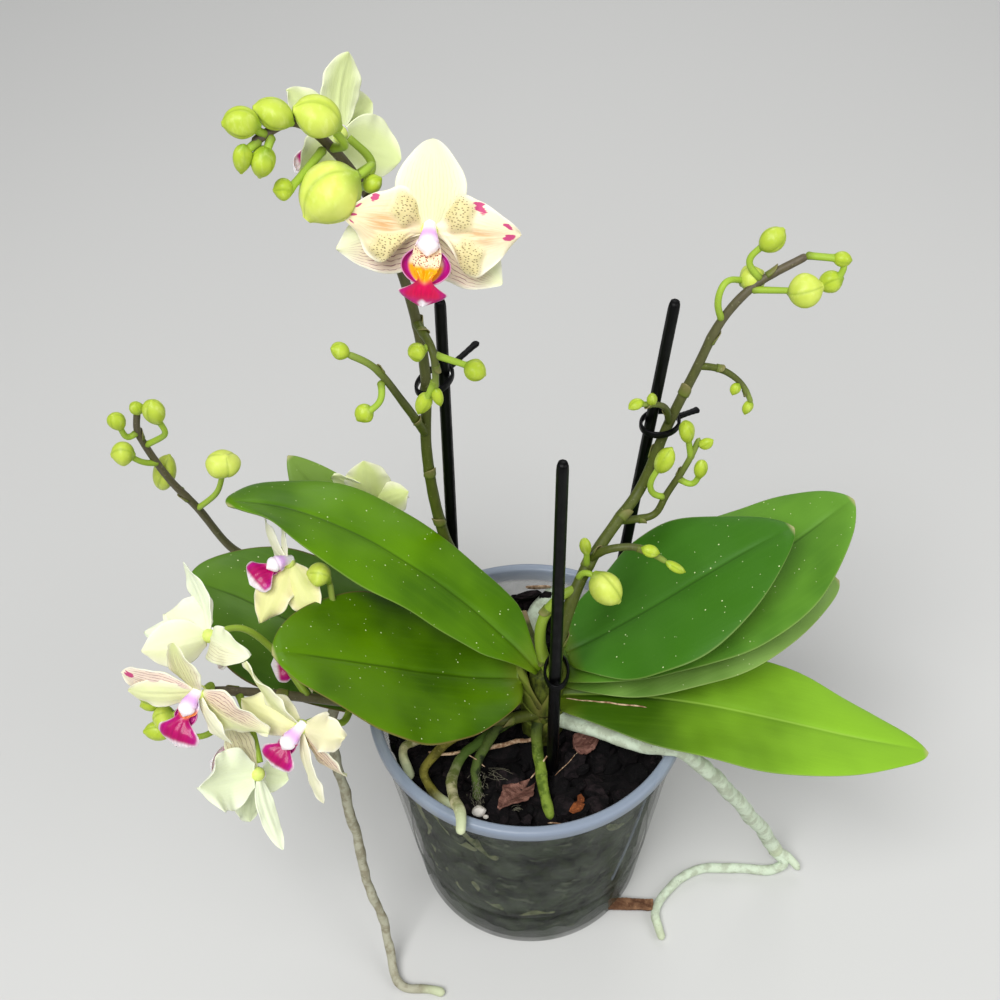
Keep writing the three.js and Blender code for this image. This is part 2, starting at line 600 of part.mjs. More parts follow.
const BLOOMS = {
  front: {
    hub: [-23.5, 0, 326], face: [0.05, -0.87, 0.49], up: [0, 0.5, 0.87],
    tepals: [
      { reach: [2, 11, 19.5], width: 19 },
      { reach: [-21, 1, 5], width: 17, bow: 3 },
      { reach: [23, -1, -2], width: 17, bow: 3 },
      { reach: [-24, -1, -4], width: 16, bow: -1 },
      { reach: [18, -5, -14], width: 16, bow: -1 },
    ],
    lip: { up: [0.17, 0.5, 0.87] },
  },
  top: {
    hub: [-47, 28, 337], face: [-0.75, 0.62, -0.25], up: [0.15, 0.5, 0.85],
    tepals: [
      { reach: [4, 11, 17], width: 14 },
      { reach: [-11, -3, 15], width: 10, bow: 1 },
      { reach: [8, 17, -1], width: 14 },
      { reach: [-9, -18, -3], width: 13, bow: 1 },
      { reach: [15, 8, -14], width: 18 },
    ],
    lip: { size: 0.8, up: [0.78, 0.45, 0.42], face: [-0.2, 0.7, -0.6] },
  },
  under_leaf: {
    hub: [-81, 10, 184], face: [-0.9, -0.4, 0.1], up: [-0.1, 0.6, 0.8],
    tepals: [
      { reach: [-9, 20, 1], width: 11 },
      { reach: [1, 13, 9], width: 10 },
      { reach: [-9, -17, -11], width: 13 },
      { reach: [2, -5, -22], width: 12 },
      { reach: [9, -14, -13], width: 13 },
    ],
    lip: { size: 0.75, up: [0.85, 0.5, 0.35], face: [-0.2, -0.4, 0.8] },
  },
  behind_leaf: {
    hub: [-57, 60, 155], face: [-0.2, 0.75, 0.6], up: [0.1, -0.5, 0.85],
    tepals: [
      { reach: [-1, 2, 23], width: 17 },
      { reach: [15, -4, 12], width: 13 },
      { reach: [-13, 2, 16], width: 13 },
      { reach: [-14, 13, -12], width: 13 },
      { reach: [12, 15, -13], width: 13 },
    ],
    lip: {},
  },
  cluster_back: {
    hub: [-102.5, -22, 187], face: [0.75, 0.3, -0.58], up: [-0.3, 0.75, 0.55],
    tepals: [
      { reach: [-8, 18, 16], width: 9 },
      { reach: [-15, 8, 2], width: 17 },
      { reach: [-22, 3, -1], width: 11 },
      { reach: [15, -13, 6], width: 12, bow: -4 },
      { reach: [-20, -8, 4], width: 8 },
    ],
    lip: { size: 0.6, up: [-0.41, 0.68, 0.61] },
  },
  cluster_front: {
    hub: [-104, -43, 186], face: [-0.7, -0.65, 0.25], up: [0.15, 0.1, 0.95],
    tepals: [
      { reach: [-5, 7, 17], width: 13 },
      { reach: [-24, 6, 4], width: 12 },
      { reach: [22, -11, -7], width: 13 },
      { reach: [-22, 2, 0], width: 10 },
      { reach: [10, -12, -11], width: 8 },
    ],
    lip: { size: 0.92, up: [0.39, 0.68, 0.61], face: [-0.3, -0.75, 0.5] },
  },
  cluster_right: {
    hub: [-73, -50, 175], face: [-0.6, -0.78, -0.15], up: [-0.5, 0.4, 0.75],
    tepals: [
      { reach: [-15, 12, 20], width: 10 },
      { reach: [-19, 9, 4], width: 13 },
      { reach: [15, -8, 6], width: 15 },
      { reach: [6, -16, -19], width: 9 },
      { reach: [13, -8, -17], width: 10 },
    ],
    lip: { size: 0.8, up: [0.62, 0.58, 0.52], face: [-0.35, -0.75, 0.45] },
  },
  cluster_low: {
    hub: [-90, -53, 153], face: [-0.72, 0.5, -0.48], up: [-0.3, 0.3, 0.9],
    tepals: [
      { reach: [-7, 9, 20], width: 8 },
      { reach: [-15, -11, 12], width: 20 },
      { reach: [-4, -9, -15], width: 14 },
      { reach: [8, -20, -14], width: 9 },
      { reach: [8, 5, -12], width: 12 },
    ],
    lip: { size: 0.85, up: [0.965, -0.19, -0.17], face: [-0.2, 0.65, -0.72] },
  },
  hidden: {
    hub: [-71, -16, 160], face: [-0.85, -0.2, 0.4], up: [0.2, 0.1, 0.95],
    tepals: [
      { reach: [-2, -2, 9], width: 8 },
      { reach: [-5, 8, 4], width: 8 },
      { reach: [-2, -9, 3], width: 8 },
      { reach: [-3, 8, -6], width: 8 },
      { reach: [-3, -7, -6], width: 8 },
    ],
    lip: { size: 0.85, up: [0.97, 0.05, -0.15], face: [-0.1, -0.5, 0.8] },
  },
};

const ROOTS = {
  root_aerial_left: {
    route: [
      [-3, -8, 118], [-34, -3, 121], [-58, -4, 122.6], [-69, -4, 120], [-73.5, -9, 112], [-72, -20, 102],
      [-69, -29, 88], [-67, -34, 72], [-65, -41, 46], [-61, -46, 26], [-59, -54, 8], [-57, -62, 3.2],
      [-52, -66, 2.8],
      [-45, -66, 2.6], [-37, -68, 2.4],
    ],
    radii: [2.2, 1.9], steps: 20, sides: 6,
  },
  root_pot_middle: {
    route: [[4, -12, 120], [2, -19, 116], [3, -27, 110.5], [4, -36, 108.5], [6, -48, 106]],
    radii: [2.4, 2.1], steps: 6, sides: 5,
  },
  root_pot_mossy: {
    route: [[-2, -11, 118], [-11, -17, 119], [-17, -22, 113], [-20, -30, 108.5], [-20, -39, 104.5]],
    radii: [2.2, 1.9], steps: 6, sides: 5,
  },
  root_pot_over_rim: {
    route: [
      [-1, -8, 113], [-20, -21, 114], [-28, -32, 113], [-28, -42, 117], [-25.5, -52, 121], [-25, -60, 120.8],
    ],
    radii: [2, 2.1], steps: 7, sides: 5,
  },
  root_pot_yellow: {
    route: [
      [-1, -7, 110], [-12, -9, 111], [-32, -22, 115], [-39, -30, 111], [-36, -36, 107.5], [-27, -42, 104.5],
    ],
    radii: [1.9, 1.8], steps: 7, sides: 5,
  },
  root_pot_pale: {
    route: [[-1, -5, 107], [-16, -7, 108], [-36, -15, 111], [-46, -21, 113], [-44, -30, 106]],
    radii: [1.9, 1.8], steps: 6, sides: 5,
  },
};

const ROOT_RIGHT = {
  thick: [
    [9, -14, 119], [25, -22, 121.5], [40, -29, 122], [51, -31, 122.5], [64, -29, 104], [83, -22, 62],
    [97, -16, 28], [105, -15, 9],
  ],
  thin: [
    [103, -15, 10], [108, -18, 5], [103, -20, 3.2], [88, -19, 2.6], [72, -19, 2.6], [60, -25, 2.6],
    [53, -33, 2.6], [51, -40, 2.6], [53, -49, 2.4],
  ],
  fork: [[104, -15, 10], [110, -17, 7], [114, -21, 3.6]],
};

function rightRoot(grow) {
  return joined([
    tube(ROOT_RIGHT.thick, taper(2.8, 3), 12, 6, grow),
    tube(ROOT_RIGHT.thin, taper(2.2, 1.7), 12, 5, grow),
    tube(ROOT_RIGHT.fork, taper(2, 1.3), 3, 5, grow),
  ]);
}

const root = ({ route, radii, steps, sides }) => (grow) =>
  tube(route, taper(...radii), steps, sides, grow);

const CLIPS = {
  clip_front: { centre: [9.1, -20.6, 158], turn: [-0.1, 0, 1.5], length: 15.5, width: 9, lever: 5 },
  clip_right: { centre: [45, 29.5, 225], turn: [0, 0, 0.4], length: 14, width: 12, lever: 8 },
  clip_left: { centre: [-27.5, 34.1, 243], turn: [0, 0, 0.9], length: 16, width: 10, lever: 15 },
};

// Red-brown bark pieces: each has its centre, its length, width and height, and its turns. The sliver sticks
// out of a drainage slot.
const LOOSE_BARK = {
  bark_sliver: [[41, -33.6, 3], [19, 5, 2.2], [0, 0, -0.06]],
  bark_flake: [[-5, -38, 107.6], [17, 9, 1.8], [-0.5, 0.2, 1.1]],
  bark_chip: [[20, -18, 107], [9, 8, 3], [0.2, 0.3, 0.4]],
};

// The short stem that carries the leaves, roots and spikes
function crown(grow) {
  const { x, y, radius, foot, middle, top } = CROWN;
  const route = [[x - 2, y + 1, foot], [x, y, middle], [x + 1, y + 1, top]];
  const swell = (t) => radius * (0.75 + 0.35 * Math.sin(Math.PI * t));
  return tube(route, swell, 5, 8, grow);
}

// Assembly: each piece gives way to those placed before it, so that none overlaps another.
const orchid = new THREE.Group();
const taken = [];

const apart = (a, b) => {
  const [p, q] = [a.boundingBox(), b.boundingBox()];
  return [0, 1, 2].some((k) => p.max[k] < q.min[k] || q.max[k] < p.min[k]);
};

function place(name, make, look) {
  let solid = make(0);
  for (const other of taken) {
    if (!apart(solid, other)) solid = solid.subtract(other);
  }
  const mesh = new THREE.Mesh(geometryOf(largestBody(solid)), new THREE.MeshStandardMaterial(look));
  mesh.name = name;
  orchid.add(mesh);
  taken.push(make(CLEARANCE));
}

place("pot", pot, PLASTIC_FROSTED);
place("stem_crown", crown, GREEN);
for (const [name, ends] of Object.entries(STAKES)) place(name, stake(...ends), PLASTIC_BLACK);
for (const [name, spec] of Object.entries(SPIKES)) place(name, (grow) => spike(spec, grow), STEM_GREEN);
for (const [name, spec] of Object.entries(LEAVES)) place(name, (grow) => leaf(spec, grow), GREEN);
for (const [name, spec] of Object.entries(ROOTS)) place(name, root(spec), ROOT_GREEN);
place("root_aerial_right", rightRoot, ROOT_GREY);
for (const [name, spec] of Object.entries(CLIPS)) place(name, () => clip(spec), PLASTIC_BLACK);
for (const [name, spec] of Object.entries(LOOSE_BARK)) place(name, (grow) => chip(...spec, grow), BARK_RED);
place("potting_bark", medium, BARK);
for (const [name, spec] of Object.entries(BLOOMS)) {
  place("bloom_" + name, (grow) => bloomCup(spec, grow), CREAM);
  place("lip_" + name, (grow) => bloomLip(spec, grow), MAGENTA);
}

export default orchid;
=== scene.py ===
import math
import random

import bmesh
import bpy
import numpy as np
from mathutils import Matrix, Vector


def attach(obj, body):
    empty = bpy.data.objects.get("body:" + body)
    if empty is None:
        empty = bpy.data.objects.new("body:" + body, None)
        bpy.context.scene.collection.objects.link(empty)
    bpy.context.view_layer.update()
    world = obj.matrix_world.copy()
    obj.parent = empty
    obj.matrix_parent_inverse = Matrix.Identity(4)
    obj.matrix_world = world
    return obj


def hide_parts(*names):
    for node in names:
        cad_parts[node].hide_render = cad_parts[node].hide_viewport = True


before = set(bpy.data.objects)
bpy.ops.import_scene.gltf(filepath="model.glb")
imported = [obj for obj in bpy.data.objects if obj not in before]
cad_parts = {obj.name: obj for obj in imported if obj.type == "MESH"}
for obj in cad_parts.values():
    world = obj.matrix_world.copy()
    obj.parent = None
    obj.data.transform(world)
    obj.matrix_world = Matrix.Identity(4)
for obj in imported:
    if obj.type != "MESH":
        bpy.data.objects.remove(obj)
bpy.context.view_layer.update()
MM = 0.001


# The camera of the photograph: its place, how far it looks down, its roll and its lens
CAMERA_PLACE = (-0.008, -0.271, 0.525)
CAMERA_DIP = math.radians(48.1)
CAMERA_ROLL = math.radians(-2.0)
CAMERA_LENS = 46.8


# The lights, in metres: place, the height they aim at, size and power
LIGHTS = {
    "key": [(-0.35, -0.65, 1.4), 0.18, 0.9, 20],
    "fill": [(0.9, -0.5, 0.8), 0.15, 1.0, 5],
    "back": [(0.2, 1.0, 0.9), 0.2, 0.8, 3],
}


# The pot and its filling, and what shows through its wall by degrees round the pot and height
POT_HEIGHT = 118
RIM_RADIUS = 60
BASE_RADIUS = 47.4
SHOULDER_RADIUS = 57.6
SHOULDER_Z = 108
WALL = 1.3
RIM_BAND = 5
FLOOR = 1.6
POT_GROOVE = 29
POT_SIDES = 180
SLOT = {"width": 8, "height": 4, "angles": [-44.5, 75.5, 195.5]}
MEDIUM_TOP = 103
MEDIUM_GAP = {"side": 0.6, "floor": 0.4}
MEDIUM_SIDES = 120
SEAM_ROUTE = [[-45.0, 105], [-46.0, 90], [-47.7, 73], [-50.0, 58], [-52.9, 42]]

WALL_ROOTS = [
    [[-140, 100], [-133, 97], [-127, 88], [-121, 83], [-114, 82]],
    [[-122, 99], [-116, 92], [-111, 84], [-105, 79]],
    [[-150, 92], [-143, 70], [-146, 50], [-138, 36], [-128, 26]],
    [[-60, 96], [-52, 84], [-40, 80], [-30, 66], [-34, 48]],
    [[-120, 44], [-112, 28], [-98, 22], [-84, 24], [-70, 18]],
    [[20, 96], [34, 82], [30, 62], [44, 50], [58, 46]],
    [[80, 98], [92, 80], [110, 74], [122, 56], [118, 36]],
    [[150, 96], [160, 78], [176, 70], [186, 50], [178, 30]],
    [[60, 30], [76, 22], [92, 30], [108, 22], [126, 18]],
    [[200, 92], [206, 70], [196, 52], [204, 34], [214, 22]],
]


# Bark chips: how many, their lengths, widths, thicknesses and heights over the bark, tones and layers
CHIP_FIELD = {"large": 190, "small": 170, "wall": 130}

CHIP_KINDS = [
    ["large", (9, 21), (6, 13), (3, 7), (-3.0, 0.8)],
    ["small", (3, 8), (2, 6), (1, 3), (-0.5, 2.2)],
]

CHIP_TONES = [0.05, 0.12, 0.2, 0.35, 0.6, 1.0]
CHIP_LAYERS = [[-1, 0.55], [-0.82, 0.9], [-0.1, 1.0], [0.15, 0.96], [0.85, 0.86], [1, 0.5]]


# Single chips and crumbs: centre, size, turns, look and tone; then centre and size
SLAB_CHIPS = [
    [[2, 50.5, 108], [15, 5, 12], (0.5, 0.1, 0.2), 0, 0.9],
    [[-5, 49, 107], [9, 5, 8], (0.4, 0.3, 0.8), 0, 0.6],
    [[9, 49, 107.5], [8, 5, 8], (0.3, -0.2, 0.5), 0, 0.4],
    [[6, 51, 113], [13, 1.2, 2.4], (0.2, 0.15, 0.05), 1, 1.0],
    [[15.5, -44, 106.2], [7.5, 4.6, 2], (0.4, 0.3, 0.5), 2, 1.0],
    [[17, -40.5, 106.6], [3, 4.6, 1.8], (0.1, 0.5, 0.2), 2, 0.5],
]

CRUMBS = [[-19.4, -43.8, 106.2, 4.6], [-17, -45.6, 105.2, 1.8]]
SPECK_COUNT = 9

LOOSE_BARK = {
    "bark_sliver": [[41, -33.6, 3], [19, 5, 2.2], [0, 0, -0.06]],
    "bark_flake": [[-6, -38.6, 107.4], [21, 10, 1.8], [-0.4, 0.15, 0.95]],
    "bark_chip": [[20, -18, 107], [9, 8, 3], [0.2, 0.3, 0.4]],
}


# Dry fibres and how thick they are; tufts of root hairs by foot, spread, lean, number and length
STRAWS = [
    [[-16.5, -20.5, 109.5], [-6, -18.6, 110.5], [4.4, -17.0, 109.5]],
    [[-36.9, -23.4, 113.8], [-30, -24.6, 113.6], [-25, -24.6, 114.6]],
    [[-29.0, -25.2, 114], [-24, -22.4, 112.5], [-16, -21.0, 109.5]],
    [[7.2, -24.9, 114.6], [4.2, -28, 111], [-0.5, -32.1, 107.5]],
    [[-25, -24.6, 114.6], [-20, -26.4, 112], [-17, -27.4, 109]],
    [[8.5, -31, 107], [13, -26, 106.5], [19, -19.5, 106]],
    [[5, -49.5, 106], [11, -50, 106.2], [17, -48.5, 106]],
    [[13, -15.8, 133.5], [25.2, -18.6, 134.9], [33.5, -20.1, 135.4], [41.2, -21.3, 135.5]],
]

STRAW_RADII = [0.85, 0.6, 0.5, 0.3, 0.22, 0.14, 0.25, 0.3]

TUFTS = [
    [[-15, -29, 107.5], 1.4, [0.9, -0.5, 0.4], 10, 8.0],
    [[-7, -43, 106], 1.4, [0.9, 0.1, 0.2], 6, 4.0],
    [[-19, -34, 108.5], 2.6, [-0.1, -0.8, 0.5], 60, 2.2],
    [[-19.5, -38.5, 107.3], 2.2, [0.1, -0.9, 0.4], 60, 2.0],
]


# The crown, with its sheaths by height, degrees round it and length, and the stub behind it
CROWN = {"x": 5, "y": -9, "radius": 7, "foot": 96, "middle": 120, "top": 142}

SHEATHS = [
    [104, 200, 12],
    [107, 340, 13],
    [111, 185, 14],
    [115, 0, 14],
    [120, 170, 15],
    [124, 350, 14],
    [129, 165, 12],
]

STUB_ROUTE = [[3.5, 3, 129], [1.5, 14, 130], [-1, 24, 132.5]]


# Stakes and clips
STAKE_RADII = (2.2, 1.8)
STAKE_SIDES = 32

STAKES = {
    "stake_front": [[7, -28, 62], [10, -20, 260]],
    "stake_right": [[30, 36, 62], [46, 29, 276]],
    "stake_left": [[-27.5, 41, 82], [-24, 36, 274]],
}

CLIPS = {
    "clip_front": {
        "centre": [9.1, -20.6, 158], "turn": [-0.1, 0, 1.5], "length": 15.5, "width": 9, "lever": 5,
    },
    "clip_right": {"centre": [45, 29.5, 225], "turn": [0, 0, 0.4], "length": 14, "width": 12, "lever": 8},
    "clip_left": {
        "centre": [-27.5, 34.1, 243], "turn": [0, 0, 0.9], "length": 16, "width": 10, "lever": 15,
    },
}


# Leaves
LEAF_FOLD = 0.2
LEAF_DROOP = 0.11
LEAF_RIB_THICKNESS = 2.6
LEAF_EDGE_THICKNESS = 1.1
LEAF_BASE_SHARE = 0.22

LEAVES = {
    "leaf_left_upper": {
        "curve": [[3, -11, 144], [-38, 22, 176], [-82, 33, 192], [-99, 20, 202]], "width": 42,
        "skew": 1.03, "blunt": 0.59, "twist": [-0.08, -0.32], "neck": 0.4,
    },
    "leaf_left_front": {
        "curve": [[-3, -10, 138], [-36, -13, 143], [-58, -22, 171], [-82, -30, 187]], "width": 61,
        "skew": 1.03, "blunt": 0.61, "twist": [0.08, 0],
    },
    "leaf_left_back": {
        "curve": [[-3, -10, 131], [-65, -10, 147], [-98, 26, 146], [-120, 19, 163]], "width": 59,
        "skew": 1.13, "blunt": 0.63, "twist": [0.02, -0.03],
    },
    "leaf_left_tip": {
        "curve": [[-2, -6, 126], [-35, 22, 128], [-64, 54, 142], [-87, 69, 175]], "width": 34,
        "skew": 1.2, "blunt": 0.7, "twist": [0, 0.2],
    },
    "leaf_right_upper": {
        "curve": [[14, -3, 143], [37, 2, 151], [52, 2, 171], [92, 16, 186]], "width": 57, "skew": 1.12,
        "blunt": 0.66, "twist": [0.03, 0.01],
    },
    "leaf_right_middle": {
        "curve": [[11, -5, 137], [55, 1, 154], [92, 23, 159], [117, 33, 180]], "width": 58, "skew": 1.12,
        "blunt": 0.63, "twist": [0.04, 0.18],
    },
    "leaf_right_lower": {
        "curve": [[11, -3, 132], [41, -1, 140], [72, 15, 149], [116, 24, 145]], "width": 56,
        "skew": 1.13, "blunt": 0.64, "twist": [0, 0.02],
    },
    "leaf_right_front": {
        "curve": [[10, -13, 131], [58, -16, 137], [83, -25, 127], [143, -30, 112]], "width": 49,
        "skew": 1.06, "blunt": 0.62, "twist": [0.01, 0.13],
    },
}

LEAF_LOOKS = {
    "leaf_left_upper": {"deep": (62, 104, 0), "light": (92, 138, 2), "slope": 0.1},
    "leaf_left_front": {"deep": (44, 78, 0), "light": (86, 128, 0), "blush": 0.6, "slope": 0.35},
    "leaf_left_back": {"deep": (60, 98, 20), "light": (94, 134, 40), "blush": 0.7},
    "leaf_left_tip": {"deep": (84, 116, 40), "light": (116, 148, 60)},
    "leaf_right_upper": {"deep": (58, 110, 22), "light": (66, 118, 30), "slope": -0.25},
    "leaf_right_middle": {"deep": (62, 110, 28), "light": (100, 150, 46)},
    "leaf_right_lower": {"deep": (76, 114, 34), "light": (132, 168, 84), "slope": 0.5},
    "leaf_right_front": {
        "deep": (54, 88, 8), "light": (136, 186, 44), "slope": 1.6,
        "rib": 0.25, "specks": 0.0, "ramp": (0.68, 1.85),
    },
}


# The gap between rings along stems, stalks and roots, and how much slimmer than their solids they are
STEM_STEP = 0.9
STALK_STEP = 0.5
ROOT_STEP = 0.8
SPIKE_SLIM = 0.9
BRANCH_SLIM = 0.95
ROOT_SLIM = 0.92


# Spikes; a bud is where it starts, where it points, its width and the route of its stalk
BUD_ROUND = [0.12, 0.6, 0.88, 1.0, 1.0, 0.88, 0.62, 0.16]
BUD_SEAMS = 3

SPIKES = {
    "spike_tall": {
        "stem": [
            [7, -5, 130], [-2, 8, 139], [-14, 22, 145], [-26, 33, 158], [-30, 33.5, 178], [-32, 33, 213],
            [-30, 31, 248], [-32, 28, 280], [-39, 22, 318], [-47, 16, 340], [-55, 9, 353], [-64, 0, 353],
        ],
        "radii": [2.6, 1.3], "age": [0.0, 0.95], "joints": 9,
        "branches": [
            [[[-32, 32, 222], [-37, 24, 243], [-45, 20, 263], [-52, 19, 269]], 1.6, 1.1],
            [[[-31, 28, 272], [-26, 15, 272], [-26, 14, 258]], 1.5, 1],
        ],
        "stalks": [
            [[-36, 25, 302], [-34, 14, 312], [-24, 4, 324]],
            [[-42, 20, 326], [-38, 24, 330], [-44, 26, 337]],
        ],
        "buds": [
            [[-61, 0, 357.5], [-70, -1, 359], 7, [[-61, 3, 353]]],
            [[-54, 4, 355], [-63, 4, 360], 8, [[-57, 7, 353]]],
            [[-43, 6, 352], [-54, 6, 358], 9.5, [[-47.5, 15.5, 341], [-43, 10, 345]]],
            [[-40, 5, 340], [-54, 0, 330.5], 14, [[-43, 19, 330], [-37, 12, 338]], 0.4, 0.05],
            [[-65.5, -2, 354], [-67.5, -2, 346], 4.4, [[-62, 1.5, 353]]],
            [[-60.5, -1, 352], [-63.5, -1, 344], 6.4, [[-59.5, 3.5, 353]]],
            [[-56, 1, 338.5], [-61, 0, 339.5], 5.2, [[-49, 14, 342], [-54, 6, 340]]],
            [[-40, 9, 333], [-35, 9, 336], 4.4, [[-42, 20, 326]]], [[-51, 19, 268], [-56, 18, 272], 5],
            [[-46, 16, 249], [-51, 15, 245], 5.6, [[-43, 21, 256], [-43, 17, 251]]],
            [[-28, 15, 272], [-33, 13, 273], 6, [[-27, 18, 272]]],
            [[-17, 14, 268], [-11, 13, 264], 6.6, [[-26, 15, 271]]],
            [[-28, 14, 256], [-32, 14, 248], 4.6, [[-26, 14, 262]]],
            [[-26, 14, 259], [-25, 13, 252], 3.4],
        ],
    },
    "spike_left": {
        "stem": [
            [5, -5, 120], [-22, 14, 124], [-52, 32, 129], [-82, 46, 135], [-101, 49, 138.5],
            [-109.5, 48, 146], [-118.5, 46.5, 173], [-124.6, 45, 189.5], [-128.5, 42.5, 210],
            [-128.9, 41, 219], [-126.6, 40, 228],
        ],
        "radii": [2.4, 1.3], "age": [0.45, 0.8], "joints": 6,
        "stalks": [[[-55, 33.5, 129.5], [-57, 44, 138], [-57, 55, 151]]],
        "buds": [
            [[-132.5, 38, 222], [-134, 37, 230], 5.4, [[-128.9, 41, 218], [-132, 38.5, 217]]],
            [[-126, 40, 227], [-126, 39, 233], 4.4],
            [
                [-120.5, 38, 224], [-120.1, 38, 235], 7,
                [[-128.2, 42.5, 210], [-121.7, 40, 215.6], [-118.4, 38, 220]],
            ],
            [[-131, 38, 210], [-139, 37, 211], 8, [[-126.5, 44, 199.5], [-130, 40, 204]]],
            [[-130.4, 50, 180], [-124, 50, 197], 8.6, [[-121.3, 46, 182]]],
            [
                [-104, 41, 197], [-101, 39, 207], 11,
                [[-118.3, 46.5, 172.5], [-113, 44, 179], [-108, 42, 186]],
            ],
        ],
    },
    "spike_low": {
        "stem": [
            [3, -14, 122], [-12, -20, 128], [-30, -23, 137], [-47, -26, 147], [-62, -28, 155],
            [-78, -29, 161], [-92, -30, 166], [-104, -33, 172], [-114, -36, 174],
        ],
        "radii": [2.5, 1.5], "age": [0.35, 0.9], "joints": 5,
        "branches": [[[[-52, -27, 150], [-60, -14, 159], [-66, 0, 169], [-67, 6, 178]], 1.5, 1.1]],
        "stalks": [
            [[-74, -29, 160], [-86, -16, 171], [-95, -16, 183], [-105, -22, 186]],
            [[-104, -33, 172], [-102, -36, 180], [-103, -41, 184]],
            [[-60, -28, 154], [-62, -42, 164], [-67, -46, 174], [-72, -48, 174]],
            [[-96, -31, 168], [-92, -40, 160], [-89, -50, 155]],
            [[-60, -14, 159], [-70, -2, 172], [-78, 9, 182]],
            [[-66, -28.5, 157], [-70, -22, 163], [-74, -20, 165]],
        ],
        "buds": [
            [[-117, -38, 177], [-126, -38, 178], 6.5, [[-112, -36, 174]]],
            [[-119, -36, 171], [-127, -36, 169], 6, [[-112, -36, 173]]],
            [[-115, -41, 172], [-120.5, -43, 166.5], 8.5, [[-108, -35, 173], [-111, -39.5, 173]]],
            [
                [-118, -40, 158], [-127, -41, 161.5], 6.6,
                [[-101, -33, 171], [-103, -38, 160], [-108, -40, 156]],
            ],
            [[-66, 4, 181], [-74, 5, 184], 8.5, [[-67, 6, 177]]],
        ],
    },
    "spike_right": {
        "stem": [
            [7, -12, 132], [9, -16, 148], [9, -17, 160], [13, -10, 176], [20, 0, 188], [31, 13, 196],
            [39, 22, 201], [47.7, 29.5, 224], [55.4, 34, 242.8], [62.7, 38, 260.5], [72.2, 41.5, 271],
            [88, 45, 279],
        ],
        "radii": [2.7, 1.4], "age": [0.0, 0.8], "joints": 8,
        "branches": [
            [[[16, -5, 183], [11, -7, 182], [5, -10, 174], [4, -12, 163]], 1.3, 1],
            [[[21, 2, 190], [26, -1, 198], [36, -2, 200], [46, -4, 194]], 1.6, 1],
            [[[56, 34.4, 245], [63, 34, 244], [71, 34, 237], [75, 33, 229]], 1.3, 0.9],
            [[[47.8, 29.4, 225], [45, 25, 237], [36, 20, 243]], 1.2, 0.9],
            [
                [
                    [31, 13, 196], [38, 17, 192], [44.3, 18, 192.6], [47.4, 20, 199.3], [54, 21, 215],
                    [57, 22, 225],
                ],
                1.5, 1,
            ],
        ],
        "buds": [
            [[22, -5, 192], [30, -12, 184], 11, [[17, -3, 186], [19, -4, 191]]],
            [[20, 0, 194], [19, -2, 205], 3.6, [[20, 0, 189]]],
            [
                [68.5, 45.5, 268], [75.5, 47, 272], 9.4,
                [[62.7, 38, 260.5], [60.5, 37.5, 268], [62.5, 40, 274]],
            ],
            [[72.5, 44, 282.5], [79.5, 46, 288.5], 7, [[74, 42, 272.5], [69.3, 43.5, 279]]],
            [[81, 36, 272], [91, 34, 276], 9.6, [[71, 41, 269.7]]],
            [[95, 44, 279], [101, 43, 278], 5, [[87, 45, 279]]],
            [[99, 41, 273], [92, 41, 269], 6.5, [[87, 45, 279], [99, 42, 278]]],
            [[37, -3, 201], [43, -4, 199], 3.8], [[45, -4, 195], [52, -5, 190], 3.2],
            [[70, 33, 238], [68, 32, 234], 3.2], [[75, 33, 230], [73, 32, 225], 3.6],
            [[38, 21, 243], [33, 19, 242], 3.4], [[41.5, 22.8, 240.3], [40, 20, 246], 3.4],
            [[43.9, 20, 211.8], [48, 20, 223], 6, [[47.4, 20, 199.3], [43, 19, 202], [41.8, 19, 208]]],
            [[53.5, 21, 224], [51.5, 20, 234], 5.4, [[55, 21.5, 216]]],
            [[57, 21, 222], [61, 20, 226], 3.6],
            [[58, 19, 209], [58, 19, 217.5], 4.6, [[51, 20.6, 208], [56, 19, 205.5]]],
        ],
    },
}


# The low shoot that is pale all along, with the points that carry it down into its stem
PALE_SHOOT = {"spike": "spike_right", "branch": 0, "foot": [[5.5, -13.2, 154], [8, -14, 146]]}


# Blooms; a tepal is its reach from the hub, its width and how far it bows forward
TEPAL_START = 0.06
HUB_RADIUS = 2.8
HUB_SIDES = 16
COLUMN_RADIUS = 2.1

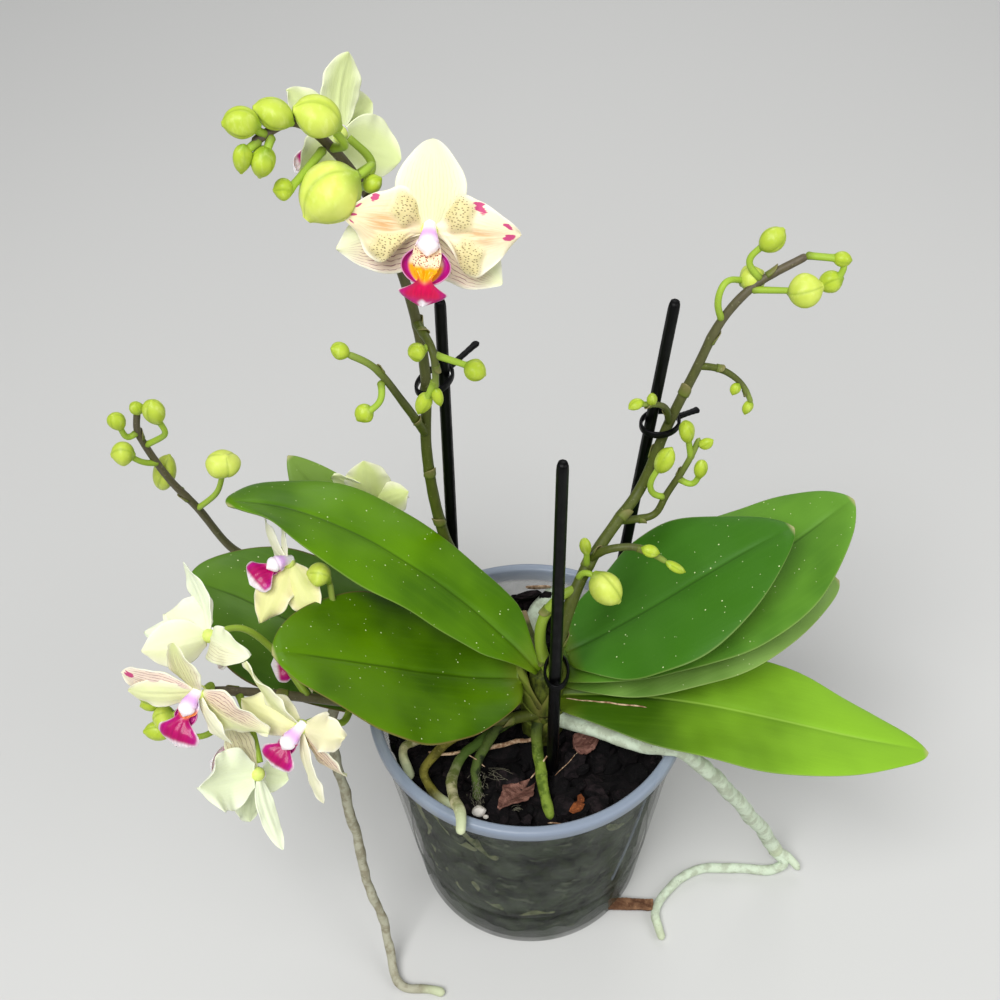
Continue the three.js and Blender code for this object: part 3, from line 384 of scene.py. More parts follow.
BLOOMS = {
    "front": {
        "hub": [-23.5, 0, 326], "face": [0.05, -0.87, 0.49], "up": [0, 0.5, 0.87],
        "tepals": [
            [[2, 11, 19.5], 19, 2], [[-21, 1, 5], 17, 3], [[23, -1, -2], 17, 3], [[-24, -1, -4], 16, -1],
            [[18, -5, -14], 16, -1],
        ],
        "lip": {"up": [0.17, 0.5, 0.87]},
    },
    "top": {
        "hub": [-47, 28, 337], "face": [-0.75, 0.62, -0.25], "up": [0.15, 0.5, 0.85],
        "tepals": [
            [[4, 11, 17], 14, 2], [[-11, -3, 15], 10, 1], [[8, 17, -1], 14, 2], [[-9, -18, -3], 13, 1],
            [[15, 8, -14], 18, 2],
        ],
        "lip": {"size": 0.8, "up": [0.78, 0.45, 0.42], "face": [-0.2, 0.7, -0.6]},
    },
    "under_leaf": {
        "hub": [-81, 10, 184], "face": [-0.9, -0.4, 0.1], "up": [-0.1, 0.6, 0.8],
        "tepals": [
            [[-9, 20, 1], 11, 2], [[1, 13, 9], 10, 2], [[-9, -17, -11], 13, 2], [[2, -5, -22], 12, 2],
            [[9, -14, -13], 13, 2],
        ],
        "lip": {"size": 0.75, "up": [0.85, 0.5, 0.35], "face": [-0.2, -0.4, 0.8]},
    },
    "behind_leaf": {
        "hub": [-57, 60, 155], "face": [-0.2, 0.75, 0.6], "up": [0.1, -0.5, 0.85],
        "tepals": [
            [[-1, 2, 23], 17, 2], [[15, -4, 12], 13, 2], [[-13, 2, 16], 13, 2], [[-14, 13, -12], 13, 2],
            [[12, 15, -13], 13, 2],
        ],
        "lip": {},
    },
    "cluster_back": {
        "hub": [-102.5, -22, 187], "face": [0.75, 0.3, -0.58], "up": [-0.3, 0.75, 0.55],
        "tepals": [
            [[-8, 18, 16], 9, 2], [[-15, 8, 2], 17, 2], [[-22, 3, -1], 11, 2], [[15, -13, 6], 12, -4],
            [[-20, -8, 4], 8, 2],
        ],
        "lip": {"size": 0.6, "up": [-0.41, 0.68, 0.61]},
    },
    "cluster_front": {
        "hub": [-104, -43, 186], "face": [-0.7, -0.65, 0.25], "up": [0.15, 0.1, 0.95],
        "tepals": [
            [[-5, 7, 17], 13, 2], [[-24, 6, 4], 12, 2], [[22, -11, -7], 13, 2], [[-22, 2, 0], 10, 2],
            [[10, -12, -11], 8, 2],
        ],
        "lip": {"size": 0.92, "up": [0.39, 0.68, 0.61], "face": [-0.3, -0.75, 0.5]},
    },
    "cluster_right": {
        "hub": [-73, -50, 175], "face": [-0.6, -0.78, -0.15], "up": [-0.5, 0.4, 0.75],
        "tepals": [
            [[-15, 12, 20], 10, 2], [[-19, 9, 4], 13, 2], [[15, -8, 6], 15, 2], [[6, -16, -19], 9, 2],
            [[13, -8, -17], 10, 2],
        ],
        "lip": {"size": 0.8, "up": [0.62, 0.58, 0.52], "face": [-0.35, -0.75, 0.45]},
    },
    "cluster_low": {
        "hub": [-90, -53, 153], "face": [-0.72, 0.5, -0.48], "up": [-0.3, 0.3, 0.9],
        "tepals": [
            [[-7, 9, 20], 8, 2], [[-15, -11, 12], 20, 2], [[-4, -9, -15], 14, 2], [[8, -20, -14], 9, 2],
            [[8, 5, -12], 12, 2],
        ],
        "lip": {"size": 0.85, "up": [0.965, -0.19, -0.17], "face": [-0.2, 0.65, -0.72]},
    },
    "hidden": {
        "hub": [-71, -16, 160], "face": [-0.85, -0.2, 0.4], "up": [0.2, 0.1, 0.95],
        "tepals": [
            [[-2, -2, 9], 8, 2], [[-5, 8, 4], 8, 2], [[-2, -9, 3], 8, 2], [[-3, 8, -6], 8, 2],
            [[-3, -7, -6], 8, 2],
        ],
        "lip": {"size": 0.85, "up": [0.97, 0.05, -0.15], "face": [-0.1, -0.5, 0.8]},
    },
}


# Lips: how wide they flare, where the waist is, how orange the callus is and how long the side lobes are
LIP_SHAPES = {
    "front": (1.0, 0.61, 1.0, 1.0),
    "cluster_front": (1.25, 0.34, 0.7, 0.55),
    "cluster_right": (1.2, 0.3, 0.0, 0.5),
    "under_leaf": (1.35, 0.3, 0.0, 0.4),
    "top": (0.45, 0.3, 0.0, 0.4),
}


# The lines of a lip and a column, by how far each point lies above and before the hub, and its swell
LIP_ROUTE = [[-2.4, 1.5], [-5.6, 4.3], [-8.8, 7.4], [-11.6, 9.0], [-15, 9.0], [-18.2, 6.8]]
COLUMN_ROUTE = [[1.5, -0.5], [-0.5, 3.2], [-3, 5.6], [-5.6, 6.8]]
COLUMN_SWELL = [0.8, 0.8, 0.9, 1.1, 1.3, 1.25, 0.5]


# What each tepal shows beyond its reach and width: its edges, folds and colours
DORSAL = [0.48, 0.78, 0.93, 0.94, 0.84, 0.64, 0.5]
LEFT_TOP = [0.5, 1.02, 1.15, 1.0, 0.86, 0.6, 0.34]
LEFT_LOW = [0.15, 0.35, 0.84, 1.16, 1.04, 0.56, 0.34]
RIGHT_TOP = [0.5, 0.95, 1.12, 0.98, 0.78, 0.58, 0.34]
RIGHT_LOW = [0.12, 0.42, 1.12, 1.3, 1.0, 0.66, 0.34]
BROAD = [0.4, 0.82, 1.0, 1.0, 0.9, 0.66, 0.28]
SEPAL_LOW = [0.5, 1.0, 1.16, 1.12, 0.94, 0.66, 0.28]
TO_CAMERA = [0.0, -0.67, 0.74]
TURNED = {"face": TO_CAMERA, "edge": [BROAD, BROAD]}

BLOOM_LOOKS = {
    "front": [
        {"cream": 0.35, "green": 0.3, "ribs": 0.3, "edge": [DORSAL, DORSAL], "ruffle": 0.3},
        {
            "cream": 0.7, "peach": 1.1, "ruffle": 0.9, "edge": [LEFT_TOP, LEFT_LOW],
            "lobes": [[0.26, 0.46, 0.15, 0.36], [0.4, -0.64, 0.2, 0.34]], "peach_patch_and_lobe_highlight": [0.5, 0.05, 0.3, 0.6],
            "marks": [
                [0.67, 0.82, 1.3, 1.1], [0.84, 0.74, 0.8, 0.4], [0.9, 0.2, 1.4, 0.34], [0.9, -0.4, 1.0, 0.34],
            ],
        },
        {
            "cream": 0.6, "peach": 0.9, "ruffle": 0.9, "edge": [RIGHT_LOW, RIGHT_TOP],
            "lobes": [[0.28, -0.5, 0.14, 0.42], [0.4, 0.6, 0.15, 0.4]], "peach_patch_and_lobe_highlight": [0.52, 0.02, 0.34, 0.42],
            "marks": [[0.51, -0.8, 2.0, 1.4], [0.84, -0.6, 1.4, 0.6], [0.87, 0.1, 2.0, 0.8]],
        },
        {"cream": 0.3, "green": 0.3, "veins": 0.85, "vein_side": -1, "edge": [BROAD, SEPAL_LOW]},
        {"cream": 0.25, "green": 0.35, "veins": 0.8, "vein_side": 1, "edge": [BROAD, BROAD]},
    ],
    "top": [{"green": 0.7, "cream": 0.2, "ribs": 0.05} for _ in range(5)],
    "under_leaf": [
        {"cream": 0.3, "green": 0.15},
        {"cream": 0.3, "green": 0.15},
        {"cream": 0.85, "green": 0.5, "ruffle": 1.8, **TURNED, "cup": 0.3},
        {"cream": 0.85, "green": 0.5, "ruffle": 1.8},
        {"cream": 0.8, "green": 0.55, "ruffle": 1.8, **TURNED, "cup": 0.4},
    ],
    "behind_leaf": [
        {"green": 0.75, "cream": 0.3, **TURNED, "cup": 0.3},
        {"green": 0.75, "cream": 0.3, **TURNED, "cup": 0.3},
        *[{"green": 0.7, "cream": 0.3} for _ in range(3)],
    ],
    "cluster_back": [
        {"green": 0.05, "ribs": 0.08},
        {"green": 0.25, "cream": 0.2, **TURNED, "cup": 0.4, "wider": 1.3, "ruffle": 1.3},
        {"green": 0.05, "ruffle": 1.2, "ribs": 0.1},
        {"cream": 0.15, "veins": 0.55, "green": 0.1, "vein_side": -1, "ruffle": 1.3},
        {"green": 0.3, "cream": 0.3, "wider": 1.9, **TURNED, "cup": 0.4},
    ],
    "cluster_front": [
        {"cream": 0.4, "green": 0.65, "veins": 0.3, "wider": 1.35, "ribs": 0.5},
        {"cream": 0.4, "veins": 0.85, "marks": [[0.85, 0.3, 2.4, 1.2]]},
        {
            "cream": 0.4, "green": 0.4, "veins": 0.9, "edge": [BROAD, BROAD], "vein_side": -1, "wider": 1.25,
            "ruffle": 1.3,
        },
        {"green": 0.5, "cream": 0.4},
        {"cream": 0.3, "green": 0.2},
    ],
    "cluster_right": [
        {"cream": 0.4, "green": 0.45, "ruffle": 1.2},
        {"cream": 0.6, "green": 0.35, **TURNED, "cup": 0.4, "ruffle": 1.6},
        {"cream": 0.6, "green": 0.2, **TURNED, "cup": 0.5, "ruffle": 2.0, "wider": 0.8},
        {"cream": 0.4, "green": 0.15},
        {"cream": 0.5, "green": 0.2, "veins": 0.9, "wider": 1.3},
    ],
    "cluster_low": [
        {"cream": 0.4, "green": 0.25, "veins": 0.8, "wider": 1.25},
        {"green": 0.2, "edge": [BROAD, BROAD], "ribs": 0.08, "ruffle": 1.8, "cup": 0.3},
        {"green": 0.25, "ruffle": 1.2},
        {"green": 0.08, "wider": 0.8, "ruffle": 0.4},
        {"green": 0.35},
    ],
    "hidden": [{"cream": 0.6, "green": 0.3} for _ in range(5)],
}


# Roots; the shade, painted shade near the crown that on some roots is partly their own colour there, is how
# deep it is and how far along the root it ends
ROOTS = {
    "root_aerial_left": {
        "route": [
            [-3, -8, 118], [-34, -3, 121], [-58, -4, 122.6], [-69, -4, 120], [-73.5, -9, 112],
            [-72, -20, 102], [-69, -29, 88], [-67, -34, 72], [-65, -41, 46], [-61, -46, 26],
            [-59, -54, 8], [-57, -62, 3.2], [-52, -66, 2.8], [-45, -66, 2.6], [-37, -68, 2.4],
        ],
        "radii": [2.2, 1.9], "tip": 0.8, "shade": [0.6, 0.45], "look": "grey",
    },
    "root_pot_middle": {
        "route": [[4, -12, 120], [2, -19, 116], [3, -27, 110.5], [4, -36, 108.5], [6, -48, 106]],
        "radii": [2.4, 2.1], "tip": 0.0, "shade": [0.8, 0.45], "look": "green",
    },
    "root_pot_mossy": {
        "route": [[-2, -11, 118], [-11, -17, 119], [-17, -22, 113], [-20, -30, 108.5], [-20, -39, 104.5]],
        "radii": [2.2, 1.9], "tip": 0.0, "shade": [0.8, 0.45], "look": "mossy",
    },
    "root_pot_over_rim": {
        "route": [
            [-1, -8, 113], [-20, -21, 114], [-28, -32, 113], [-28, -42, 117], [-25.5, -52, 121],
            [-25, -60, 120.8],
        ],
        "radii": [2, 2.1], "tip": 0.8, "shade": [1.0, 0.75], "look": "rim",
    },
    "root_pot_yellow": {
        "route": [
            [-1, -7, 110], [-12, -9, 111], [-32, -22, 115], [-39, -30, 111], [-36, -36, 107.5],
            [-27, -42, 104.5],
        ],
        "radii": [1.9, 1.8], "tip": 0.8, "shade": [0.8, 0.45], "look": "yellow",
    },
    "root_pot_pale": {
        "route": [[-1, -5, 107], [-16, -7, 108], [-36, -15, 111], [-46, -21, 113], [-44, -30, 106]],
        "radii": [1.9, 1.8], "tip": 0.8, "shade": [0.8, 0.45], "look": "dim",
    },
}

ROOT_RIGHT = {
    "thick": [
        [9, -14, 119], [25, -22, 121.5], [40, -29, 122], [51, -31, 122.5], [64, -29, 104], [83, -22, 62],
        [97, -16, 28], [105, -15, 9],
    ],
    "thin": [
        [103, -15, 10], [108, -18, 5], [103, -20, 3.2], [88, -19, 2.6], [72, -19, 2.6], [60, -25, 2.6],
        [53, -33, 2.6], [51, -40, 2.6], [53, -49, 2.4],
    ],
    "fork": [[104, -15, 10], [110, -17, 7], [114, -21, 3.6]],
}

BACK_ROOT = [[13, 52, 106], [8, 47, 107], [4, 39, 106.5], [1, 30, 105]]


# The parts of the right root: radii, sides, wrinkles and how green the tip is
RIGHT_PARTS = {
    "thick": [2.8, 3.0, 22, 0.045, 0.6],
    "thin": [2.2, 1.7, 18, 0.08, 0.5],
    "fork": [2.4, 1.5, 16, 0.14, 0.2],
}


# The colours of roots and bark
ROOT_COLOURS = {
    "green": [(120, 142, 50), (76, 98, 24), (160, 172, 96)],
    "mossy": [(78, 96, 40), (32, 42, 18), (110, 108, 84)],
    "pale": [(208, 222, 198), (182, 192, 168), (230, 238, 218), (90, 100, 60), 0.06],
    "grey": [(176, 174, 152), (146, 140, 118), (196, 202, 178), (104, 96, 76), 0.08],
    "yellow": [(118, 112, 42), (82, 78, 24), (160, 152, 84)],
    "dim": [(176, 170, 128), (108, 112, 56), (196, 196, 158)],
    "rim": [(184, 178, 138), (116, 118, 66), (204, 204, 168), (66, 90, 30)],
    "wall": [(150, 156, 110), (96, 106, 60), (172, 176, 132)],
}

BARK_COLOURS = {
    "look_bark": [(6, 5, 6), (42, 33, 35)],
    "look_red_bark": [(96, 62, 54), (156, 114, 100)],
    "look_dry_bark": [(92, 62, 44), (156, 118, 88)],
    "look_orange_bark": [(96, 50, 28), (158, 90, 48)],
}


# Numbers and curves
UP = np.array([0.0, 0.0, 1.0])


def unit(vectors):
    return vectors / np.maximum(np.linalg.norm(vectors, axis=-1, keepdims=True), 1e-12)


def step(low, high, values):
    """0 below low, 1 above high and smooth between them."""
    share = np.clip((values - low) / (high - low), 0, 1)
    return share * share * (3 - 2 * share)


def mix(a, b, share):
    return a + (b - a) * share


def spline(points, places):
    """Points on the centripetal curve through the given ones, at places from 0 to 1 by parameter."""
    points = np.array(points, float)
    whole = np.array([2 * points[0] - points[1], *points, 2 * points[-1] - points[-2]])
    gaps = np.maximum(np.linalg.norm(np.diff(whole, axis=0), axis=1) ** 0.5, 1e-6)
    place = np.clip(places, 0, 1) * (len(points) - 1)
    first = np.minimum(place.astype(int), len(points) - 2)
    t = (place - first)[:, None]
    a, b, c, d = (whole[first + k] for k in range(4))
    before, within, after = (gaps[first + k][:, None] for k in range(3))
    leave = ((b - a) / before - (c - a) / (before + within) + (c - b) / within) * within
    reach = ((c - b) / within - (d - b) / (within + after) + (d - c) / after) * within
    return (
        b
        + leave * t
        + (3 * (c - b) - 2 * leave - reach) * t**2
        + (2 * (b - c) + leave + reach) * t**3
    )


def even(points, count):
    """The same curve at count points that lie evenly along it."""
    fine = spline(points, np.linspace(0, 1, 24 * len(points)))
    run = np.concatenate([[0], np.cumsum(np.linalg.norm(np.diff(fine, axis=0), axis=1))])
    places = np.linspace(0, run[-1], count)
    return np.stack([np.interp(places, run, fine[:, k]) for k in range(3)], axis=1)


def length_of(points):
    return np.linalg.norm(np.diff(np.array(points, float), axis=0), axis=1).sum()


def through(values, places):
    """A smooth value at each place from 0 to 1, through values that are evenly spaced."""
    whole = np.array([values[0], *values, values[-1]], float)
    place = np.clip(places, 0, 1) * (len(values) - 1)
    first = np.minimum(place.astype(int), len(values) - 2)
    t = place - first
    a, b, c, d = (whole[first + k] for k in range(4))
    return 0.5 * (2 * b + (c - a) * t + (2 * a - 5 * b + 4 * c - d) * t**2 + (3 * b - a - 3 * c + d) * t**3)


def lumps(points, size, seed, waves=7):
    """A smooth uneven value of about -1 to 1 at each point, with swells of about that size."""
    draw = np.random.RandomState(seed)
    total = np.zeros(points.shape[:-1])
    for _ in range(waves):
        way = unit(draw.normal(size=3)) * draw.uniform(0.6, 1.5)
        total += np.sin(points @ way * (2 * math.pi / size) + draw.uniform(0, 2 * math.pi))
    return total / math.sqrt(waves) * 0.8


def relax(points, rounds):
    """The same line with its corners eased; its ends stay."""
    points = points.copy()
    for _ in range(rounds):
        points[1:-1] = (points[:-2] + 2 * points[1:-1] + points[2:]) / 4
    return points


def around(sides):
    return np.linspace(0, 2 * math.pi, sides, endpoint=False)


def grid(rows, columns, start=0):
    """Places along a sheet, from start to 1, and across it, from -1 to 1."""
    return np.linspace(start, 1, rows)[:, None], np.linspace(-1, 1, columns)[None]


def revolved(profile, sides):
    """A ring about the upright axis for each radius and height of a profile."""
    profile = np.array(profile, float)
    radii, heights = profile[:, :1], profile[:, 1:]
    angle = around(sides)
    return np.stack([radii * np.cos(angle), radii * np.sin(angle), heights * np.ones(sides)], axis=-1)


def squared(values, power):
    """Values from -1 to 1 drawn out or in with their signs kept, as from a round form to a square one."""
    return np.sign(values) * np.abs(values) ** power


def frames_along(centres):
    """Two spokes at each centre, square to the curve and to each other, that turn as little as they can."""
    tangents = unit(np.gradient(centres, axis=0))
    start = np.cross(tangents[0], UP)
    if np.linalg.norm(start) < 0.1:
        start = np.array([1.0, 0.0, 0.0])
    spokes = [unit(start - tangents[0] * (start @ tangents[0]))]
    for tangent in tangents[1:]:
        last = spokes[-1]
        spokes.append(unit(last - tangent * (last @ tangent)))
    return np.array(spokes), np.cross(tangents, np.array(spokes))


def spokes_round(centres, sides):
    """A ring of unit spokes about each centre."""
    across, over = frames_along(centres)
    angle = around(sides)
    return across[:, None] * np.cos(angle)[None, :, None] + over[:, None] * np.sin(angle)[None, :, None]


def turn_matrix(rx, ry, rz):
    """Turns about z, then y, then x, in radians."""
    cx, sx, cy, sy, cz, sz = (f(a) for a in (rx, ry, rz) for f in (math.cos, math.sin))
    about_x = np.array([[1, 0, 0], [0, cx, -sx], [0, sx, cx]])
    about_y = np.array([[cy, 0, sy], [0, 1, 0], [-sy, 0, cy]])
    about_z = np.array([[cz, -sz, 0], [sz, cz, 0], [0, 0, 1]])
    return about_x @ about_y @ about_z


# Meshes: a shape gathers lofts of rings, and values at their points that the materials read


class Shape:
    def __init__(self):
        self.points = []
        self.faces = []
        self.looks = []
        self.values = {}
        self.count = 0

    def loft(self, rings, look=0, caps=True, **values):
        """Rings of points in millimetres, each closed on itself, joined one to the next."""
        rows, sides = rings.shape[:2]
        points = rings.reshape(-1, 3)
        tops = [rings[0].mean(0), rings[-1].mean(0)] if caps else []
        self.points.append(np.concatenate([points, *[t[None] for t in tops]]) * MM)
        start = self.count
        here = start + np.arange(rows * sides).reshape(rows, sides)
        along = np.roll(here, -1, axis=1)
        quads = np.stack([here[:-1], along[:-1], along[1:], here[1:]], axis=-1).reshape(-1, 4)
        self.faces += quads.tolist()
        fans = []
        if caps:
            first, last = start + rows * sides, start + rows * sides + 1
            fans += [[first, b, a] for a, b in zip(here[0].tolist(), along[0].tolist())]
            fans += [[last, a, b] for a, b in zip(here[-1].tolist(), along[-1].tolist())]
        self.faces += fans
        self.looks += [look] * (len(quads) + len(fans))
        for name, value in values.items():
            value = np.asarray(value, float)
            deep = value.shape[2:] if value.ndim == 3 else ()
            full = np.broadcast_to(value, (rows, sides, *deep)).reshape(rows * sides, *deep)
            if caps:
                ends = [full[:sides].mean(0), full[-sides:].mean(0)]
                full = np.concatenate([full, np.array(ends)])
            self.values.setdefault(name, []).append((start, full))
        self.count += len(self.points[-1])

    def tube(self, centres, radii, sides=12, look=0, **values):
        """A round rod through the centres."""
        radii = np.broadcast_to(np.asarray(radii, float), (len(centres),))
        rings = centres[:, None] + spokes_round(centres, sides) * radii[:, None, None]
        self.loft(rings, look, **values)

    def sheet(self, middle, normal, half, look=0, **values):
        """A closed thin sheet about a grid of points; half is half its thickness."""
        front = middle + normal * half[..., None]
        back = middle - normal * half[..., None]
        rings = np.concatenate([front, back[:, ::-1]], axis=1)
        folded = {"face": np.concatenate([np.ones(half.shape), np.zeros(half.shape)], axis=1)}
        for name, value in values.items():
            value = np.asarray(value, float)
            deep = value.shape[2:] if value.ndim == 3 else ()
            value = np.broadcast_to(value, (*half.shape, *deep))
            folded[name] = np.concatenate([value, value[:, ::-1]], axis=1)
        self.loft(rings, look, **folded)


def piece(name, shape, looks, nodes=(), smooth=True):
    """One object from a shape, which rides on the plant's only body and stands for the given nodes."""
    mesh = bpy.data.meshes.new(name)
    points = np.concatenate(shape.points)
    mesh.from_pydata(points.tolist(), [], shape.faces)
    for value_name, runs in shape.values.items():
        deep = runs[0][1].shape[1:]
        kind = "FLOAT_COLOR" if deep else "FLOAT"
        full = np.zeros((len(points), 4 if deep else 1), np.float32)
        if deep:
            full[:, 3] = 1
        for start, run in runs:
            full[start : start + len(run), : run.shape[1] if deep else 1] = run.reshape(len(run), -1)
        attribute = mesh.attributes.new(value_name, kind, "POINT")
        attribute.data.foreach_set("color" if deep else "value", full.ravel())
    for look in looks:
        mesh.materials.append(look)
    mesh.polygons.foreach_set("material_index", shape.looks)
    mesh.polygons.foreach_set("use_smooth", [smooth] * len(mesh.polygons))
    whole = bmesh.new()
    whole.from_mesh(mesh)
    bmesh.ops.recalc_face_normals(whole, faces=whole.faces)
    whole.to_mesh(mesh)
    whole.free()
    obj = bpy.data.objects.new(name, mesh)
    bpy.context.scene.collection.objects.link(obj)
    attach(obj, "root")
    if nodes:
        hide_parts(*nodes)
    return obj


# Materials: a small helper for their node trees


class Look:
    """A material, with short calls for the nodes that feed its shader."""

    def __init__(self, name, **settings):
        self.material = bpy.data.materials.new(name)
        self.material.use_nodes = True
        self.tree = self.material.node_tree
        self.shader = self.tree.nodes["Principled BSDF"]
        self.base = None
        for key, value in settings.items():
            self.shader.inputs[key.replace("_", " ")].default_value = value

    def feed(self, socket, value):
        if isinstance(value, bpy.types.NodeSocket):
            self.tree.links.new(value, socket)
        elif socket.type == "RGBA" and len(value) == 3:
            socket.default_value = (*value, 1)
        else:
            socket.default_value = value

    def value(self, name):
        made = self.tree.nodes.new("ShaderNodeAttribute")
        made.attribute_name = name
        return made.outputs["Fac"]

    def colour(self, name):
        made = self.tree.nodes.new("ShaderNodeAttribute")
        made.attribute_name = name
        return made.outputs["Color"]

    def math(self, operation, a, b=0.0, c=0.0):
        made = self.tree.nodes.new("ShaderNodeMath")
        made.operation = operation
        for socket, value in zip(made.inputs, (a, b, c)):
            self.feed(socket, value)
        return made.outputs[0]

    def times(self, a, b):
        return self.math("MULTIPLY", a, b)

    def plus(self, a, b):
        return self.math("ADD", a, b)

    def flip(self, value):
        return self.math("SUBTRACT", 1.0, value)

    def blend(self, a, b, share):
        made = self.tree.nodes.new("ShaderNodeMix")
        made.data_type = "RGBA"
        self.feed(made.inputs["Factor"], share)
        self.feed(made.inputs[6], a)
        self.feed(made.inputs[7], b)
        return made.outputs[2]

    def span(self, value, low, high, to_low=0.0, to_high=1.0):
        made = self.tree.nodes.new("ShaderNodeMapRange")
        made.interpolation_type = "SMOOTHSTEP"
        for socket, number in zip(made.inputs, (value, low, high, to_low, to_high)):
            self.feed(socket, number)
        return made.outputs[0]

    def place(self, stretch=(1, 1, 1)):
        """The point in millimetres, stretched for a grain."""
        made = self.tree.nodes.new("ShaderNodeTexCoord")
        scale = self.tree.nodes.new("ShaderNodeVectorMath")
        scale.operation = "MULTIPLY"
        self.tree.links.new(made.outputs["Object"], scale.inputs[0])
        scale.inputs[1].default_value = [1000 * s for s in stretch]
        return scale.outputs[0]

    def combine(self, x, y, z=0.0):
        made = self.tree.nodes.new("ShaderNodeCombineXYZ")
        for socket, value in zip(made.inputs, (x, y, z)):
            self.feed(socket, value)
        return made.outputs[0]

    def noise(self, size, where=None, detail=3.0, rough=0.55):
        """Cloudy values about 0.5, with clouds about size across."""
        made = self.tree.nodes.new("ShaderNodeTexNoise")
        self.feed(made.inputs["Vector"], self.place() if where is None else where)
        made.inputs["Scale"].default_value = 1 / size
        made.inputs["Detail"].default_value = detail
        made.inputs["Roughness"].default_value = rough
        return made.outputs["Fac"]

    def cells(self, size, where=None, spread=1.0, flat=False):
        """How far each point is from its nearest speck, in parts of the grid's size."""
        made = self.tree.nodes.new("ShaderNodeTexVoronoi")
        if flat:
            made.voronoi_dimensions = "2D"
        self.feed(made.inputs["Vector"], self.place() if where is None else where)
        made.inputs["Scale"].default_value = 1 / size
        made.inputs["Randomness"].default_value = spread
        return made.outputs["Distance"]

    def bump(self, height, depth):
        """Relief of about that depth in millimetres."""
        made = self.tree.nodes.new("ShaderNodeBump")
        made.inputs["Distance"].default_value = depth * MM
        self.feed(made.inputs["Height"], height)
        self.feed(self.shader.inputs["Normal"], made.outputs[0])

    def soften(self, weight, scale, radius):
        """Lets some light in under the surface."""
        for key, value in (("Weight", weight), ("Scale", scale), ("Radius", radius)):
            self.shader.inputs["Subsurface " + key].default_value = value

    def coat(self, rgb, share):
        """Lays a colour, as a screen shows it, over the ground so far."""
        self.base = self.blend(self.base, srgb(*rgb), share)

    def paint(self):
        """The finished material, with the ground as its colour."""
        self.feed(self.shader.inputs["Base Color"], self.base)
        return self.material


def srgb(red, green, blue):
    """A colour as a screen shows it, 0 to 255, in the linear numbers that shaders use."""
    shown = [v / 255 for v in (red, green, blue)]
    return tuple(v / 12.92 if v <= 0.04 else ((v + 0.055) / 1.055) ** 2.4 for v in shown)


# Leaves: glossy straps with a gutter along the midrib, pale margins and small white specks


def leaf_look(name, deep, light, slope=0.25, blush=0.0, rib=-0.4, specks=1.0, ramp=None):
    look = Look("look_" + name, Roughness=0.4, Specular_IOR_Level=0.2, Coat_Weight=0.02, Coat_Roughness=0.25)
    along, across, face = look.value("along"), look.value("across"), look.value("face")
    run, wide = look.value("run"), look.value("wide")
    flat = look.combine(run, wide)
    grain = look.noise(2.2, look.combine(look.times(run, 0.06), wide), 4.0)
    clouds = look.noise(30.0, detail=2.0)
    # The slope changes a leaf's green along its length, mostly lighter towards the tip: partly its own
    # colour, partly painted light, with painted shade near the crown.
    tone = look.plus(clouds, look.times(along, slope))
    low, high = ramp or (0.32, 0.72 + 0.55 * max(slope, 0))
    look.base = look.blend(srgb(*deep), srgb(*light), look.span(tone, low, high))
    lines = look.times(look.span(grain, 0.42, 0.7), 0.05 if ramp else 0.18)
    look.coat(light, lines)
    distance = look.math("ABSOLUTE", wide)
    groove = look.times(look.span(distance, 0.1, 0.7, 1.0, 0.0), look.span(along, 0.97, 0.8))
    # Painted shade darkens the gutter along the midrib; a positive rib paints a pale midrib there instead.
    shade = [c * (1 + rib) for c in deep] if rib < 0 else (176, 214, 96)
    look.coat(shade, look.times(groove, abs(rib) + 0.1))
    margin = look.span(look.math("ABSOLUTE", across), 0.972, 0.996)
    edge = (128, 86, 60) if blush else (150, 168, 92)
    look.coat(edge, look.times(margin, 0.3 + 0.4 * blush))
    tipped = look.times(look.span(along, 0.985, 1.0), 0.7)
    look.coat((190, 180, 130), tipped)
    foot = look.times(look.span(along, 0.0, 0.09, 1.0, 0.0), 0.5)
    look.coat((112, 128, 30), foot)
    back = look.times(look.flip(face), 0.4)
    look.coat((104, 124, 56), back)
    if specks:
        for size, reach in ((6.5, 0.014), (11.0, 0.013)):
            dots = look.cells(size, flat, flat=True)
            small = look.span(dots, reach, reach + 0.016, 1.0, 0.0)
            patches = look.span(look.noise(17.0, flat, 1.0), 0.46, 0.56)
            speck = look.times(look.times(small, patches), face)
            look.coat((214, 226, 170), speck)
    look.feed(look.shader.inputs["Roughness"], look.span(look.noise(18.0), 0.3, 0.7, 0.36, 0.52))
    look.bump(look.plus(grain, look.times(look.noise(7.0), 1.2)), 0.09)
    return look.paint()


